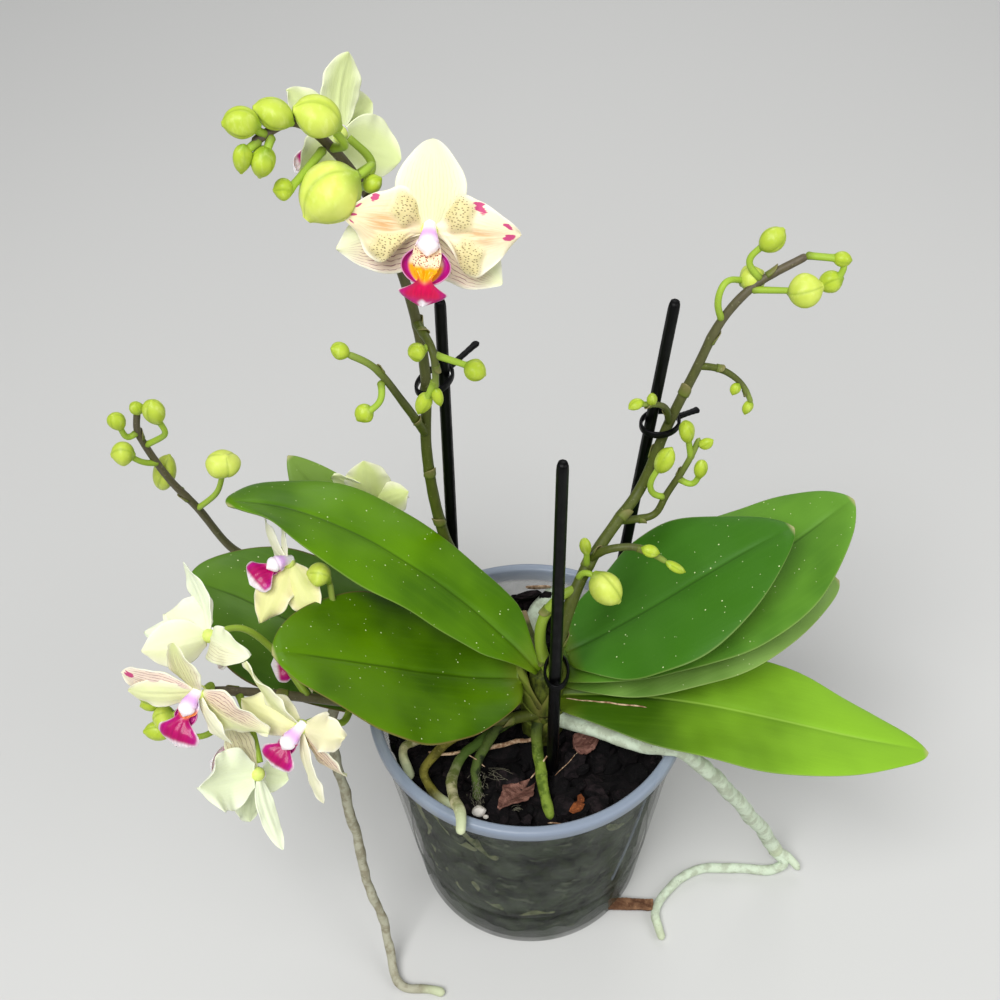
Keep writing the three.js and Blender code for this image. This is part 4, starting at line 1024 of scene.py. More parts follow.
def make_leaf(name, spec):
    """A strap along its curve, folded at the midrib and waved at its edges."""
    rows, columns = 90, 39
    t = np.linspace(0, 1, rows)
    u = (1 - (1 - t) ** 1.5)[:, None]
    v = np.sin(np.linspace(-1, 1, columns) * math.pi / 2 * 0.97)
    v = squared(v / v[-1], 1.25)[None]
    p = np.array(spec["curve"], float)
    centre = (1 - u) ** 3 * p[0] + 3 * (1 - u) ** 2 * u * p[1] + 3 * (1 - u) * u**2 * p[2] + u**3 * p[3]
    slope = (1 - u) ** 2 * (p[1] - p[0]) + 2 * (1 - u) * u * (p[2] - p[1]) + u**2 * (p[3] - p[2])
    tangent = unit(slope)
    side = unit(np.cross(tangent, UP))
    normal = unit(np.cross(side, tangent))
    turn = mix(spec["twist"][0], spec["twist"][1], u)
    side, normal = (
        side * np.cos(turn) + normal * np.sin(turn),
        normal * np.cos(turn) - side * np.sin(turn),
    )
    swell = np.maximum(np.sin(math.pi * u ** spec["skew"]), 1e-6) ** spec["blunt"]
    reach = np.maximum(spec["width"] / 2 * (swell + LEAF_BASE_SHARE * (1 - u) ** 6), 0.5)
    reach = reach * mix(spec.get("neck", 1.0), 1.0, step(0.0, 0.12, u))
    rounded = np.sqrt(v**2 + 0.0004)
    folded = LEAF_FOLD + 0.25 * step(0.25, 0.0, u)
    lift = reach * (folded * rounded - LEAF_DROOP * v**2)
    lift = lift - 0.5 * np.exp(-((reach * v) / 0.9) ** 2) * step(1.0, 0.85, u)
    phase = len(name) * 1.7
    wave = np.sin(u * 11 + phase + 1.3 * v) * 0.9 + np.sin(u * 23 + 2 * phase) * 0.35
    lift = lift + wave * v**2 * step(0.08, 0.3, u) * step(1.0, 0.9, u)
    middle = centre[:, None] + side[:, None] * (reach * v)[..., None] + normal[:, None] * lift[..., None]
    middle = middle + normal[:, None] * (0.22 * lumps(middle, 21, len(name)))[..., None]
    thick = mix(LEAF_RIB_THICKNESS, LEAF_EDGE_THICKNESS, np.abs(v)) * (1 - 0.78 * np.abs(v) ** 10)
    half = thick / 2 * np.ones_like(u) * step(1.02, 0.96, u)
    half = np.maximum(half, 0.1)
    gaps = np.linalg.norm(np.diff(centre, axis=0), axis=1)
    run = np.concatenate([[0], np.cumsum(gaps)])[:, None]
    shape = Shape()
    shape.sheet(middle, normal[:, None], half, along=u, across=v, wide=reach * v, run=run)
    look = leaf_look(name, **LEAF_LOOKS[name])
    return piece(name + "_fine", shape, [look], [name])


# Stems, stalks and buds


def stem_look():
    look = Look("look_stem", Roughness=0.5, Specular_IOR_Level=0.3)
    young = look.value("young")
    grain = look.noise(1.6, look.place((1, 1, 0.25)), 4.0)
    old = look.blend(srgb(92, 102, 34), srgb(58, 66, 20), grain)
    tip = look.blend(srgb(112, 100, 84), srgb(72, 62, 52), grain)
    share = look.plus(young, look.times(look.noise(9.0), 0.3))
    look.base = look.blend(old, tip, look.span(share, 0.5, 1.1))
    look.coat((164, 196, 62), look.value("fresh"))
    look.coat((150, 132, 96), look.value("dry"))
    fleck = look.span(look.noise(1.0, detail=2.0), 0.66, 0.72)
    look.coat((150, 150, 110), look.times(fleck, 0.4))
    look.bump(grain, 0.12)
    return look.paint()


def bud_look():
    look = Look("look_bud", Roughness=0.42, Specular_IOR_Level=0.3)
    look.soften(0.08, 0.002, (0.8, 1.0, 0.2))
    fibres = look.noise(1.6, look.place((1, 1, 0.4)), 3.0)
    clouds = look.noise(6.0, detail=2.0)
    ripe = look.value("ripe")
    green = look.blend(srgb(148, 174, 28), srgb(190, 210, 64), clouds)
    full = look.blend(srgb(194, 212, 66), srgb(230, 238, 126), clouds)
    look.base = look.blend(green, full, ripe)
    look.coat((116, 144, 26), look.times(look.value("seam"), 0.45))
    look.coat((104, 142, 22), look.times(look.value("foot"), 0.7))
    pale = look.times(look.span(fibres, 0.5, 0.75), 0.25)
    look.coat((232, 242, 156), pale)
    look.bump(fibres, 0.1)
    return look.paint()


def add_bud(shape, spec, seed):
    """An egg of three sepals, one lapping over the next, on a thin stalk."""
    at, to, width, *rest = spec
    at, to = np.array(at, float), np.array(to, float)
    length = np.linalg.norm(to - at)
    big = width > 6
    rows, sides = (36, 60) if big else (22, 30)
    t = (1 - np.cos(np.linspace(0, math.pi, rows))) / 2
    axis = (to - at) / length
    bend = unit(np.cross(axis, UP) + 0.3 * UP)
    draw = random.Random(seed * 7 + int(width * 10))
    centres = at + (to - at) * t[:, None] + bend * (0.07 * length * np.sin(math.pi * t))[:, None]
    angle = around(sides)
    own_turn = seed * 2.1 + 0.3 * draw.random()
    turn, fold = rest[1:] if len(rest) > 1 else (own_turn, 0.0)
    twist = 0.12 * draw.uniform(-1, 1)
    place = (angle[None] * BUD_SEAMS / (2 * math.pi) + turn + twist * t[:, None]) % 1
    seam = np.exp(-((place - 0.5) / 0.045) ** 2)
    lap = 0.035 * np.exp(-np.maximum(place - 0.5, 0) / 0.16) * (place > 0.5)
    swell = 1 - 0.045 * seam + lap + 0.02 * np.cos(2 * math.pi * place)
    swell = swell + fold * (np.cos(2 * math.pi * (place - 0.1)) - 0.6 * np.exp(-((place - 0.5) / 0.1) ** 2))
    squash = 1 - 0.08 * np.cos(2 * (angle - turn))
    radius = width / 2 * through(BUD_ROUND, t)[:, None] * swell * squash[None]
    radius = radius * (1 + 0.02 * np.sin(angle * 5 + seed)[None] * np.sin(3 * t)[:, None])
    spread = spokes_round(centres, sides)
    rings = centres[:, None] + spread * radius[..., None]
    ripe = np.clip((width - 6) / 6, 0.05, 1)
    shape.loft(
        rings,
        look=1,
        ripe=ripe,
        seam=seam * step(0.0, 0.25, t)[:, None],
        foot=step(0.26, 0.0, t)[:, None],
    )
    if rest:
        inside = at + (to - at) * 0.3
        add_stalk(shape, [*rest[0], inside], 1.15, 0.95, 0.35)


def add_bract(shape, centre, tangent, radius, length, angle):
    """A small pointed sheath that hugs the stem at a joint."""
    across, over = frames_along(np.stack([centre, centre + tangent]))
    rows, columns = 10, 11
    u, v = grid(rows, columns)
    spread = 1.7 * np.sqrt(np.maximum(1 - u**1.6, 0.01))
    turn = angle + v * spread
    out = across[0] * np.cos(turn)[..., None] + over[0] * np.sin(turn)[..., None]
    far = radius + 0.12 + 0.35 * u**2
    middle = centre + tangent * ((u - 0.2) * length)[..., None] + out * (far * np.ones_like(v))[..., None]
    half = np.full((rows, columns), 0.14)
    shape.sheet(middle, out, half, young=0.4, fresh=0.12, dry=0.55 * u * np.ones_like(v))


def add_stem(shape, points, start, end, young, sides=14, joints=0, seed=1, green=0.0, pale=False):
    """A stem that swells a little at its joints; young runs from its first to its last point."""
    length = length_of(points)
    count = max(8, int(length / STEM_STEP))
    centres = relax(even(points, count), 8)
    t = np.linspace(0, 1, count)
    radii = mix(start, end, t)
    draw = random.Random(seed)
    places = [(k + 0.5 + draw.uniform(-0.2, 0.2)) / joints for k in range(joints)]
    for place in places:
        radii = radii * (1 + 0.07 * np.exp(-((t - place) * length / 1.4) ** 2))
    radii = radii * (1 + 0.025 * lumps(centres, 9, seed))
    radii = radii * np.sqrt(np.clip((1 - t) * length / 1.2, 0.05, 1))
    lively = 0.5 if pale else green * step(0.55, 1.0, t)[:, None]
    shape.tube(centres, radii, sides, young=mix(*young, t)[:, None], fresh=lively, dry=0.0)
    tangents = unit(np.gradient(centres, axis=0))
    for number, place in enumerate(places):
        k = int(place * (count - 1))
        add_bract(shape, centres[k], tangents[k], radii[k], 1.9 * start, number * 2.6 + seed)


def add_stalk(shape, points, start, end, flare, young=0.2, fresh=0.85):
    """A thin green stalk that starts inside its stem and runs into a bud or bloom without a corner."""
    length = length_of(points)
    count = max(16, int(length / STALK_STEP))
    centres = relax(even(points, count), 30 if len(points) > 2 else 4)
    t = np.linspace(0, 1, count)
    run = t * length
    radii = mix(start, end, t) * np.sqrt(np.clip(run / 0.9, 0.04, 1)) * (1 + 0.18 * step(2.5, 0, run))
    radii = radii + flare * np.exp(-((1 - t) / 0.12) ** 2)
    green = mix(0.35, 1.0, step(0, 3.5, run))[:, None]
    shape.tube(centres, radii, 12, young=young, fresh=fresh * green)


def make_spike(name, spec, looks):
    """A spike with its branches, stalks and buds; one low shoot of the right spike is pale all along."""
    shape = Shape()
    start, end = spec["radii"]
    slim = SPIKE_SLIM
    add_stem(shape, spec["stem"], start * slim, end * slim, spec["age"], 18, spec["joints"], len(name))
    for number, (points, first, last) in enumerate(spec.get("branches", [])):
        if name == PALE_SHOOT["spike"] and number == PALE_SHOOT["branch"]:
            add_stem(shape, [*points, *PALE_SHOOT["foot"]], 1.6, 2.2, (0.0, 0.0), 18, 2, 5, pale=True)
        else:
            slim = BRANCH_SLIM
            add_stem(shape, points, first * slim, last * slim, (0.2, 0.75), 14, 2, number + 3, 0.5)
    for points in spec.get("stalks", []):
        add_stalk(shape, points, 1.3, 1.05, 0.0, 0.15, 0.65)
    for number, bud in enumerate(spec["buds"]):
        add_bud(shape, bud, number)
    return piece(name + "_fine", shape, looks, [name])


def make_stub(look):
    """The cut stub of an old spike behind the crown."""
    shape = Shape()
    t = np.linspace(0, 1, 24)
    centres = even(STUB_ROUTE, 24)
    radii = mix(2.0, 1.7, t) * (1 + 0.1 * np.exp(-(((t - 0.6) / 0.06) ** 2)))
    shape.tube(centres, radii, 14, 0, young=0.0, fresh=0.0, dry=0.9 * step(0.74, 0.84, t)[:, None])
    return piece("spike_stub", shape, [look])


# Blooms


def petal_look():
    look = Look("look_petal", Roughness=0.55, Specular_IOR_Level=0.2)
    look.soften(0.12, 0.001, (1.0, 1.0, 0.6))
    along, across, wide = look.value("along"), look.value("across"), look.value("wide")
    face, fan = look.value("face"), look.value("fan")
    flat = look.combine(along, wide)
    fibres = look.noise(0.9, look.combine(look.times(along, 0.16), wide), 3.0)
    rays = look.noise(0.42, look.combine(look.times(along, 0.05), fan), 3.0)
    edge = look.math("ABSOLUTE", across)
    inner = look.span(edge, 0.35, 0.97, 1.0, 0.0)
    look.base = look.blend(srgb(236, 241, 228), srgb(240, 221, 170), look.value("cream"))
    rim = look.times(look.span(edge, 0.8, 1.0), 0.5)
    look.coat((250, 248, 236), rim)
    green = look.times(look.value("green"), look.plus(look.times(inner, 0.65), 0.35))
    look.coat((204, 220, 118), green)
    streaks = look.span(rays, 0.38, 0.62)
    peach = look.times(look.value("peach"), look.plus(look.times(streaks, 0.55), 0.3))
    look.coat((212, 164, 108), peach)
    bend = look.times(look.math("SUBTRACT", look.noise(4.0, flat, 2.0), 0.5), 1.3)
    lines = look.math("SINE", look.times(look.plus(fan, bend), 2 * math.pi * 1.15))
    thin = look.span(lines, 0.7, 0.99)
    broken = look.span(look.noise(2.0, flat, 2.0), 0.25, 0.55, 0.15, 1.0)
    line = look.times(thin, broken)
    look.coat((178, 188, 104), look.times(line, look.value("ribs")))
    blush = look.times(look.value("veins"), 0.6)
    look.coat((232, 194, 186), blush)
    look.coat((132, 62, 76), look.times(line, look.value("veins")))
    stretch = look.combine(look.times(along, 0.55), wide)
    spots = look.cells(0.62, stretch, spread=0.85, flat=True)
    size = look.times(look.value("dots"), 0.25)
    dot = look.span(look.math("SUBTRACT", size, spots), 0.0, 0.1)
    ground = look.times(look.value("dots"), 0.75)
    look.coat((212, 198, 134), ground)
    look.coat((100, 78, 46), look.times(dot, 0.85))
    feather = look.plus(look.value("mark"), look.times(look.math("SUBTRACT", fibres, 0.5), 2.2))
    stain = look.times(look.span(feather, 0.05, 0.3), look.span(look.value("mark"), -0.5, 0.0))
    look.coat((190, 26, 112), look.times(stain, 0.92))
    behind = look.times(look.flip(face), 0.35)
    look.coat((222, 234, 176), behind)
    look.bump(look.plus(fibres, look.times(look.noise(2.6, flat, 2.0), 0.8)), 0.1)
    return look.paint()


def ink_look(name, rough, grain_depth=0.08, shine=0.0):
    """A look that takes its colour from the mesh, with soft fibres."""
    look = Look(name, Roughness=rough, Specular_IOR_Level=0.25, Coat_Weight=shine, Subsurface_Weight=0.06)
    look.shader.inputs["Subsurface Scale"].default_value = 0.001
    grain = look.noise(1.4, detail=2.0)
    fibres = look.noise(0.9, look.combine(look.times(look.value("along"), 0.12), look.value("wide")), 2.0)
    look.base = look.colour("ink")
    dark = look.times(look.span(fibres, 0.62, 0.42), look.value("streak"))
    look.coat((110, 0, 50), dark)
    spots = look.cells(0.62, spread=0.8)
    dot = look.span(spots, 0.28, 0.42, 1.0, 0.0)
    look.coat((132, 16, 34), look.times(dot, look.value("speckle")))
    look.bump(grain, grain_depth)
    return look.paint()


LILAC = np.array(srgb(226, 176, 240))
WHITE = np.array(srgb(252, 246, 250))
CREAM = np.array(srgb(250, 226, 190))
ORANGE = np.array(srgb(252, 168, 8))
MAGENTA = np.array(srgb(186, 16, 136))
CRIMSON = np.array(srgb(206, 10, 76))
DEEP = np.array(srgb(176, 8, 96))


def bloom_axes(hub, face, up):
    """Points of a bloom by how far they lie sideways, up and forward of its hub, and its sideways axis."""
    forward = unit(np.array(face, float))
    upward = np.array(up, float)
    upward = unit(upward - forward * (upward @ forward))
    sideways = np.cross(upward, forward)
    return lambda s, u, f: np.array(hub, float) + sideways * s + upward * u + forward * f, sideways


def add_tepal(shape, bloom, spec, extra, seed):
    """One sepal or petal: a waved sheet with values for its lobes, veins, marks and dots."""
    lobes = extra.get("lobes", [])
    rows, columns = (84, 67) if lobes else (44, 37)
    hub = np.array(bloom["hub"], float)
    forward = unit(np.array(extra.get("face", bloom["face"]), float))
    reach, width, bow = spec
    reach = np.array(reach, float)
    length = np.linalg.norm(reach)
    cup = extra.get("cup", 0.12)
    t = np.linspace(0, 1, rows)
    u = (0.55 * t + 0.45 * np.sin(t * math.pi / 2))[:, None]
    v = np.linspace(-1, 1, columns)[None]
    middle = hub + reach * (TEPAL_START + (1 - TEPAL_START) * u) + forward * 4 * bow * u * (1 - u)
    tangent = unit(reach + forward * 4 * bow * (1 - 2 * u))
    side = unit(np.cross(tangent, forward))
    normal = unit(np.cross(side, tangent))
    edges = extra.get("edge")
    if edges:
        right, left = (through(e, u) for e in edges)
        round_tip = np.sqrt(np.maximum(1 - u**7, 0.0))
        half = width / 2 * np.where(v > 0, right, left) * round_tip
    else:
        plain = np.maximum(np.sin(math.pi * (0.02 + 0.98 * u)), 1e-6) ** 0.65
        half = width / 2 * plain * np.ones_like(v)
    half = np.maximum(half * extra.get("wider", 1.0), 0.35)
    ruffle = extra.get("ruffle", 0.6)
    half = half * (1 + 0.025 * ruffle * np.sin(u * 17 + seed * 2.3) * np.abs(v) ** 3)
    lift = -cup * half * (np.sqrt(v**2 + 0.01) - 0.1)
    lift = lift + ruffle * v**2 * np.sin(u * 9 + seed * 1.9 + v) * step(0.1, 0.4, u)
    lift = lift + 0.35 * ruffle * np.abs(v) ** 3 * np.sin(u * 23 + seed + 2 * v) * step(0.2, 0.5, u)
    lift = lift - 0.3 * np.exp(-((v * half) / 0.7) ** 2) * step(1.0, 0.6, u)
    lift = lift + 0.02 * np.sin(v * 16 + seed) * step(0.9, 0.3, u) * step(0.0, 0.2, u)
    field = np.zeros(half.shape)
    for lu, lv, du, dv in lobes:
        far = np.sqrt(((u - lu) / du) ** 2 + ((v - lv) / dv) ** 2)
        far = far * (1 + 0.1 * np.sin(5 * np.arctan2((v - lv) / dv, (u - lu) / du) + seed))
        lift = lift + 1.7 * np.exp(-(far**2.6)) - 0.45 * np.exp(-(((far - 1.4) / 0.35) ** 2))
        field = np.maximum(field, step(1.55, 0.75, far))
    points = middle[:, None] + side[:, None] * (half * v)[..., None] + normal[:, None] * lift[..., None]
    thick = mix(0.42, 0.14, np.abs(v) ** 1.5) * np.ones_like(u) * mix(1.0, 0.5, step(0.7, 1.0, u))
    mark = np.full(half.shape, -1.0)
    for mu, mv, long, wide in extra.get("marks", []):
        du = (u - mu) * length / long
        dv = (v - mv) * half / wide
        mark = np.maximum(mark, 1 - np.sqrt(du**2 + dv**2))
    veins = extra.get("veins", 0) * step(0.0, 0.12, u) * step(1.02, 0.6, u)
    veins = veins * step(1.0, 0.85, np.abs(v))
    if "vein_side" in extra:
        veins = veins * step(-0.45, 0.35, v * extra["vein_side"])
    peach_patch_and_lobe_highlight = np.zeros(half.shape)
    if "peach_patch_and_lobe_highlight" in extra:
        gu, gv, du, dv = extra["peach_patch_and_lobe_highlight"]
        peach_patch_and_lobe_highlight = np.exp(-(((u - gu) / du) ** 2) - ((v - gv) / (dv * (0.3 + 1.1 * u))) ** 2) * (1 - field)
    shape.sheet(
        points,
        normal[:, None],
        thick,
        along=u * length,
        across=v,
        wide=v * half,
        fan=v * 0.42 * width,
        cream=extra.get("cream", 0.0),
        green=extra.get("green", 0.0),
        ribs=extra.get("ribs", 0.0) * step(1.0, 0.6, u) * step(1.0, 0.6, np.abs(v)),
        veins=veins,
        dots=field,
        peach=extra.get("peach", 0) * peach_patch_and_lobe_highlight,
        mark=mark,
    )


def add_column(shape, at):
    """The column: a blunt beak with a white cap over the lip."""
    rows, sides = 34, 28
    centres = even([at(0, rise, reach) for rise, reach in COLUMN_ROUTE], rows)
    t = np.linspace(0, 1, rows)
    radii = COLUMN_RADIUS * through(COLUMN_SWELL, t)
    radii = radii * np.sqrt(np.maximum(1 - t**8, 0.02))
    spread = spokes_round(centres, sides)
    groove = 1 - 0.14 * np.exp(-((t - 0.66) / 0.03) ** 2)
    rings = centres[:, None] + spread * (radii * groove)[:, None, None]
    ink = WHITE + (LILAC - WHITE) * np.exp(-(((t - 0.5) / 0.16) ** 2))[:, None]
    shape.loft(rings, look=1, ink=np.broadcast_to(ink[:, None], (rows, sides, 3)))


def add_hub(shape, bloom):
    """The ovary: a small swelling behind the tepals."""
    hub = np.array(bloom["hub"], float)
    forward = unit(np.array(bloom["face"], float))
    t = np.linspace(0, 1, 12)
    centres = hub + forward * mix(-HUB_RADIUS, HUB_RADIUS * 0.7, t)[:, None]
    radii = HUB_RADIUS * 0.85 * np.sqrt(np.maximum(1 - (2 * t - 1) ** 2, 0.01))
    ink = np.broadcast_to(np.array(srgb(212, 226, 120)), (len(t), HUB_SIDES, 3))
    shape.loft(centres[:, None] + spokes_round(centres, HUB_SIDES) * radii[:, None, None], look=1, ink=ink)


def make_bloom(name, bloom, looks):
    """The tepals, the ovary behind them and the column."""
    shape = Shape()
    for number, (spec, extra) in enumerate(zip(bloom["tepals"], BLOOM_LOOKS[name])):
        add_tepal(shape, bloom, spec, extra, number + len(name))
    pose = {**bloom, **bloom["lip"]}
    at, _ = bloom_axes(bloom["hub"], pose["face"], pose["up"])
    add_hub(shape, bloom)
    add_column(shape, at)
    return piece("bloom_" + name + "_fine", shape, looks, ["bloom_" + name])


def make_lip(name, bloom, look):
    """The lip: a speckled throat, an orange callus, a flared midlobe and two cupped side lobes."""
    pose = {**bloom, **bloom["lip"]}
    size = bloom["lip"].get("size", 1)
    spread, waist, orange, ears = LIP_SHAPES.get(name, (1.1, 0.3, 0.0, 0.45))
    front = name == "front"
    at, sideways = bloom_axes(bloom["hub"], pose["face"], pose["up"])

    def local(s, u, f):
        return at(s * size, u * size, f * size)

    shape = Shape()
    rows, columns = (72, 45) if front else (46, 29)
    u, v = grid(rows, columns)
    centres = even([local(0, rise, reach) for rise, reach in LIP_ROUTE], rows)
    tangent = unit(np.gradient(centres, axis=0))
    normal = -unit(np.cross(sideways[None], tangent))
    neck = 1.75 if front else 2.1
    throat = 1.7 + 1.9 * np.sin(math.pi * np.clip(u / waist, 0, 1)) ** 0.6
    flare = neck + 4.6 * spread * step(waist, waist + (0.2 if front else 0.3), u) ** 0.8
    half = np.where(u < waist, mix(throat, neck, step(waist - 0.1, waist, u)), flare)
    first = 0.74 if front else 0.66
    half = half * np.sqrt(np.maximum(1 - np.clip((u - first) / (1 - first), 0, 1) ** 2.4, 0.0004))
    half = size * half * np.ones_like(v)
    mid = step(waist, waist + 0.2, u)
    lift = size * (-1.4 * v**2 * mid + 0.15 * np.cos(v * 9) * mid * step(1, 0.8, u))
    lift = lift + size * 1.6 * v**2 * (1 - mid)
    lift = lift + size * 1.3 * np.exp(-(((u - waist + 0.1) / 0.08) ** 2) - ((np.abs(v) - 0.35) / 0.3) ** 2)
    lift = lift - size * 0.4 * np.exp(-((v / 0.12) ** 2)) * mid
    points = centres[:, None] + sideways * (half * v)[..., None] + normal[:, None] * lift[..., None]
    thick = mix(0.34, 0.14, np.abs(v)) * np.ones_like(u) * size
    ink = WHITE * np.ones((*half.shape, 3))

    def wash(ink, colour, share):
        return ink + (colour - ink) * (share * np.ones(half.shape))[..., None]

    ink = wash(ink, CREAM, step(0.1, 0.2, u))
    if not front:
        ink = wash(ink, MAGENTA, step(0.1, 0.22, u))
    ink = wash(ink, ORANGE, orange * step(waist - 0.2, waist - 0.12, u) * step(waist + 0.09, waist, u))
    heart = CRIMSON if front else DEEP
    ink = wash(ink, heart, step(waist - 0.01, waist + 0.07, u + 0.05 * np.abs(v)))
    ink = wash(ink, MAGENTA, mid * step(0.4 if not front else 0.55, 0.95, np.abs(v)) * 0.85)
    ink = wash(ink, MAGENTA, step(0.8, 0.93, u) * 0.7)
    margin = 0.93 if front else 0.84
    if not front:
        ink = wash(ink, WHITE, step(0.74, 0.84, u + 0.04 * v) * 0.9)
    edge = np.maximum(step(margin, 1.0, np.abs(v)) * mid, step(margin + 0.05, 1.0, u))
    if front:
        tip = step(0.86, 0.93, u + 0.02 * np.cos(v * 11)) * step(0.42, 0.14, np.abs(v - 0.1))
        edge = np.maximum(edge, tip)
    ink = wash(ink, WHITE, edge * 0.95)
    speckle = step(0.1, 0.18, u) * step(waist - 0.12, waist - 0.2, u)
    sides = 0.9 * step(waist - 0.2, waist - 0.14, u) * step(waist, waist - 0.08, u) * v**2
    speckle = (speckle + sides) * (1 if front else 0.0)
    streak = mid * step(0.95, 0.75, u) * 0.25 * np.ones_like(v)
    values = {"speckle": speckle, "streak": streak, "along": u * 18 * size, "wide": v * half}
    shape.sheet(points, normal[:, None], thick, ink=ink, **values)
    for hand in (-1, 1):
        add_side_lobe(shape, local, hand, size, ears)
    return piece("lip_" + name + "_fine", shape, [look], ["lip_" + name])


def add_side_lobe(shape, local, hand, size, ears):
    """One cupped lobe beside the throat; b runs down its foot, c out to its edge."""
    rows, columns = (34, 30) if ears == 1 else (20, 18)
    b = np.linspace(0, 1, rows)[:, None]
    c = np.linspace(0, 1, columns)[None]
    bulge = np.sin(math.pi * np.clip(b, 0.03, 0.97) ** 0.9) ** 0.5
    foot = 0.6 + 0.5 * np.sin(math.pi * b)
    reach = 5.2 * ears if ears < 1 else 5.1
    s = hand * (foot + reach * np.sin(c * math.pi * 0.5) * bulge)
    long = 7.6 if ears == 1 else 5.0
    up = -4.4 - long * b - 0.5 * c * b + 0.5 * c * (1 - b)
    outer = np.clip((c - 0.5) / 0.5, 0, 1)
    forth = 2.9 + 0.68 * long * b + 2.4 * (1 - np.cos(outer * math.pi * 0.5)) * bulge * ears
    origin = local(0, 0, 0)
    axes = [local(1, 0, 0) - origin, local(0, 1, 0) - origin, local(0, 0, 1) - origin]
    points = origin + s[..., None] * axes[0] + up[..., None] * axes[1] + forth[..., None] * axes[2]
    along_b, along_c = np.gradient(points, axis=0), np.gradient(points, axis=1)
    normal = unit(np.cross(along_b, along_c))
    thick = size * mix(0.32, 0.14, c) * np.ones_like(b)
    glowing = ORANGE + (CREAM - ORANGE) * step(0.55, 0.4, b)[..., None]
    flush = step(0.36, 0.52, c) * np.ones_like(b)
    ink = glowing + (MAGENTA - glowing) * flush[..., None]
    if ears < 1:
        ink = np.broadcast_to(MAGENTA, ink.shape)
    # A painted highlight: the top of the lobe's magenta face turns lilac.
    peach_patch_and_lobe_highlight = step(0.5, 0.0, b) * 0.4 * flush
    ink = ink + (np.array(srgb(214, 80, 214)) - ink) * peach_patch_and_lobe_highlight[..., None]
    rim = step(0.95, 1.0, c) * np.ones_like(b)
    ink = ink + (WHITE - ink) * (rim * 0.3)[..., None]
    shape.sheet(points, normal, thick, ink=ink, speckle=0.0, streak=0.25 * flush, along=b * 7, wide=c * 4)


# Roots


def root_look(name, pale, dark, wet, shade=(20, 26, 10), relief=0.12):
    look = Look(name, Roughness=0.75, Specular_IOR_Level=0.2)
    blotch = look.noise(4.5, detail=4.0)
    fine = look.noise(0.8, detail=3.0)
    look.base = look.blend(srgb(*dark), srgb(*pale), look.span(blotch, 0.38, 0.58))
    look.coat(wet, look.times(look.span(fine, 0.55, 0.75), 0.45))
    cracks = look.times(look.span(look.noise(1.5, detail=2.0), 0.68, 0.76), 0.5)
    look.coat([c * 0.55 for c in dark], cracks)
    look.coat((206, 216, 176), look.value("tip"))
    # Painted shade near the crown, on some roots partly their own colour there.
    look.coat(shade, look.value("shade"))
    look.bump(look.plus(look.times(blotch, 0.4), fine), relief)
    return look.paint()


def add_root(shape, route, start, end, seed, sides=14, wrinkle=0.07, tip=0.0, shade=0.0, shaded=0.45):
    """An uneven root with a blunt end; it is in the shade for about the share of its run given last."""
    length = length_of(route)
    rows = max(12, int(length / ROOT_STEP))
    centres = even(route, rows)
    t = np.linspace(0, 1, rows)
    sway = np.stack([lumps(centres, 13, seed + k) for k in range(3)], axis=1)
    centres = centres + 0.35 * sway * step(0, 0.1, t)[:, None]
    spread = spokes_round(centres, sides)
    radii = mix(start, end, t)[:, None]
    slow = lumps(centres, 11, seed + 5)[:, None]
    quick = lumps(centres[:, None] + spread * radii[..., None], 5, seed)
    radii = radii * (1 + wrinkle * (0.5 * quick + 0.7 * slow))
    blunt = np.sqrt(np.clip(1 - ((t * length - (length - 2.0)) / 2.0).clip(0, 1) ** 2, 0.05, 1))
    radii = radii * blunt[:, None]
    shape.loft(
        centres[:, None] + spread * radii[..., None],
        tip=(tip * step(length - 12, length - 3, t * length))[:, None],
        shade=(shade * step(shaded, shaded - 0.35, t))[:, None],
    )


def make_root(name, spec, look):
    """A root from the crown, a little slimmer than its solid."""
    shape = Shape()
    start, end = spec["radii"]
    slim, tip = ROOT_SLIM, spec["tip"]
    add_root(shape, spec["route"], start * slim, end * slim, len(name), 20, 0.1, tip, *spec["shade"])
    return piece(name + "_fine", shape, [look], [name])


def make_right_root(look):
    """The thick root over the pot's rim, its thin end along the ground and its short fork."""
    shape = Shape()
    for number, (part, route) in enumerate(ROOT_RIGHT.items()):
        start, end, sides, wrinkle, tip = RIGHT_PARTS[part]
        add_root(shape, route, start, end, 31 + number, sides, wrinkle, tip)
    return piece("root_aerial_right_fine", shape, [look], ["root_aerial_right"])


def make_back_root(look):
    """The pale old root that lies on the bark at the back of the pot."""
    shape = Shape()
    add_root(shape, BACK_ROOT, 4.2, 3.4, 61, 24, 0.08, 0.2)
    return piece("root_at_back", shape, [look])


def hair_look():
    look = Look("look_hair", Roughness=0.8)
    look.base = look.blend(srgb(92, 88, 70), srgb(150, 146, 124), look.noise(3.0))
    return look.paint()


def make_root_hairs(look):
    """Fine root hairs on the mossy root and about the flake."""
    draw = np.random.RandomState(3)
    shape = Shape()
    for foot, spread, lean, count, long in TUFTS:
        for _ in range(count):
            start = np.array(foot) + draw.normal(size=3) * [spread * 0.5, spread, 0.5]
            way = unit(np.array(lean) + 0.45 * draw.normal(size=3))
            reach = long * draw.uniform(0.5, 1.2)
            sag = np.array([0, 0, -0.25 * reach])
            middle = start + way * reach * 0.5 + 0.12 * reach * draw.normal(size=3)
            shape.tube(even([start, middle, start + way * reach + sag], 9), 0.055, 4)
    return piece("root_hairs", shape, [look])


# The pot: a frosted cup with a rolled rim, a foot ring and drainage slots


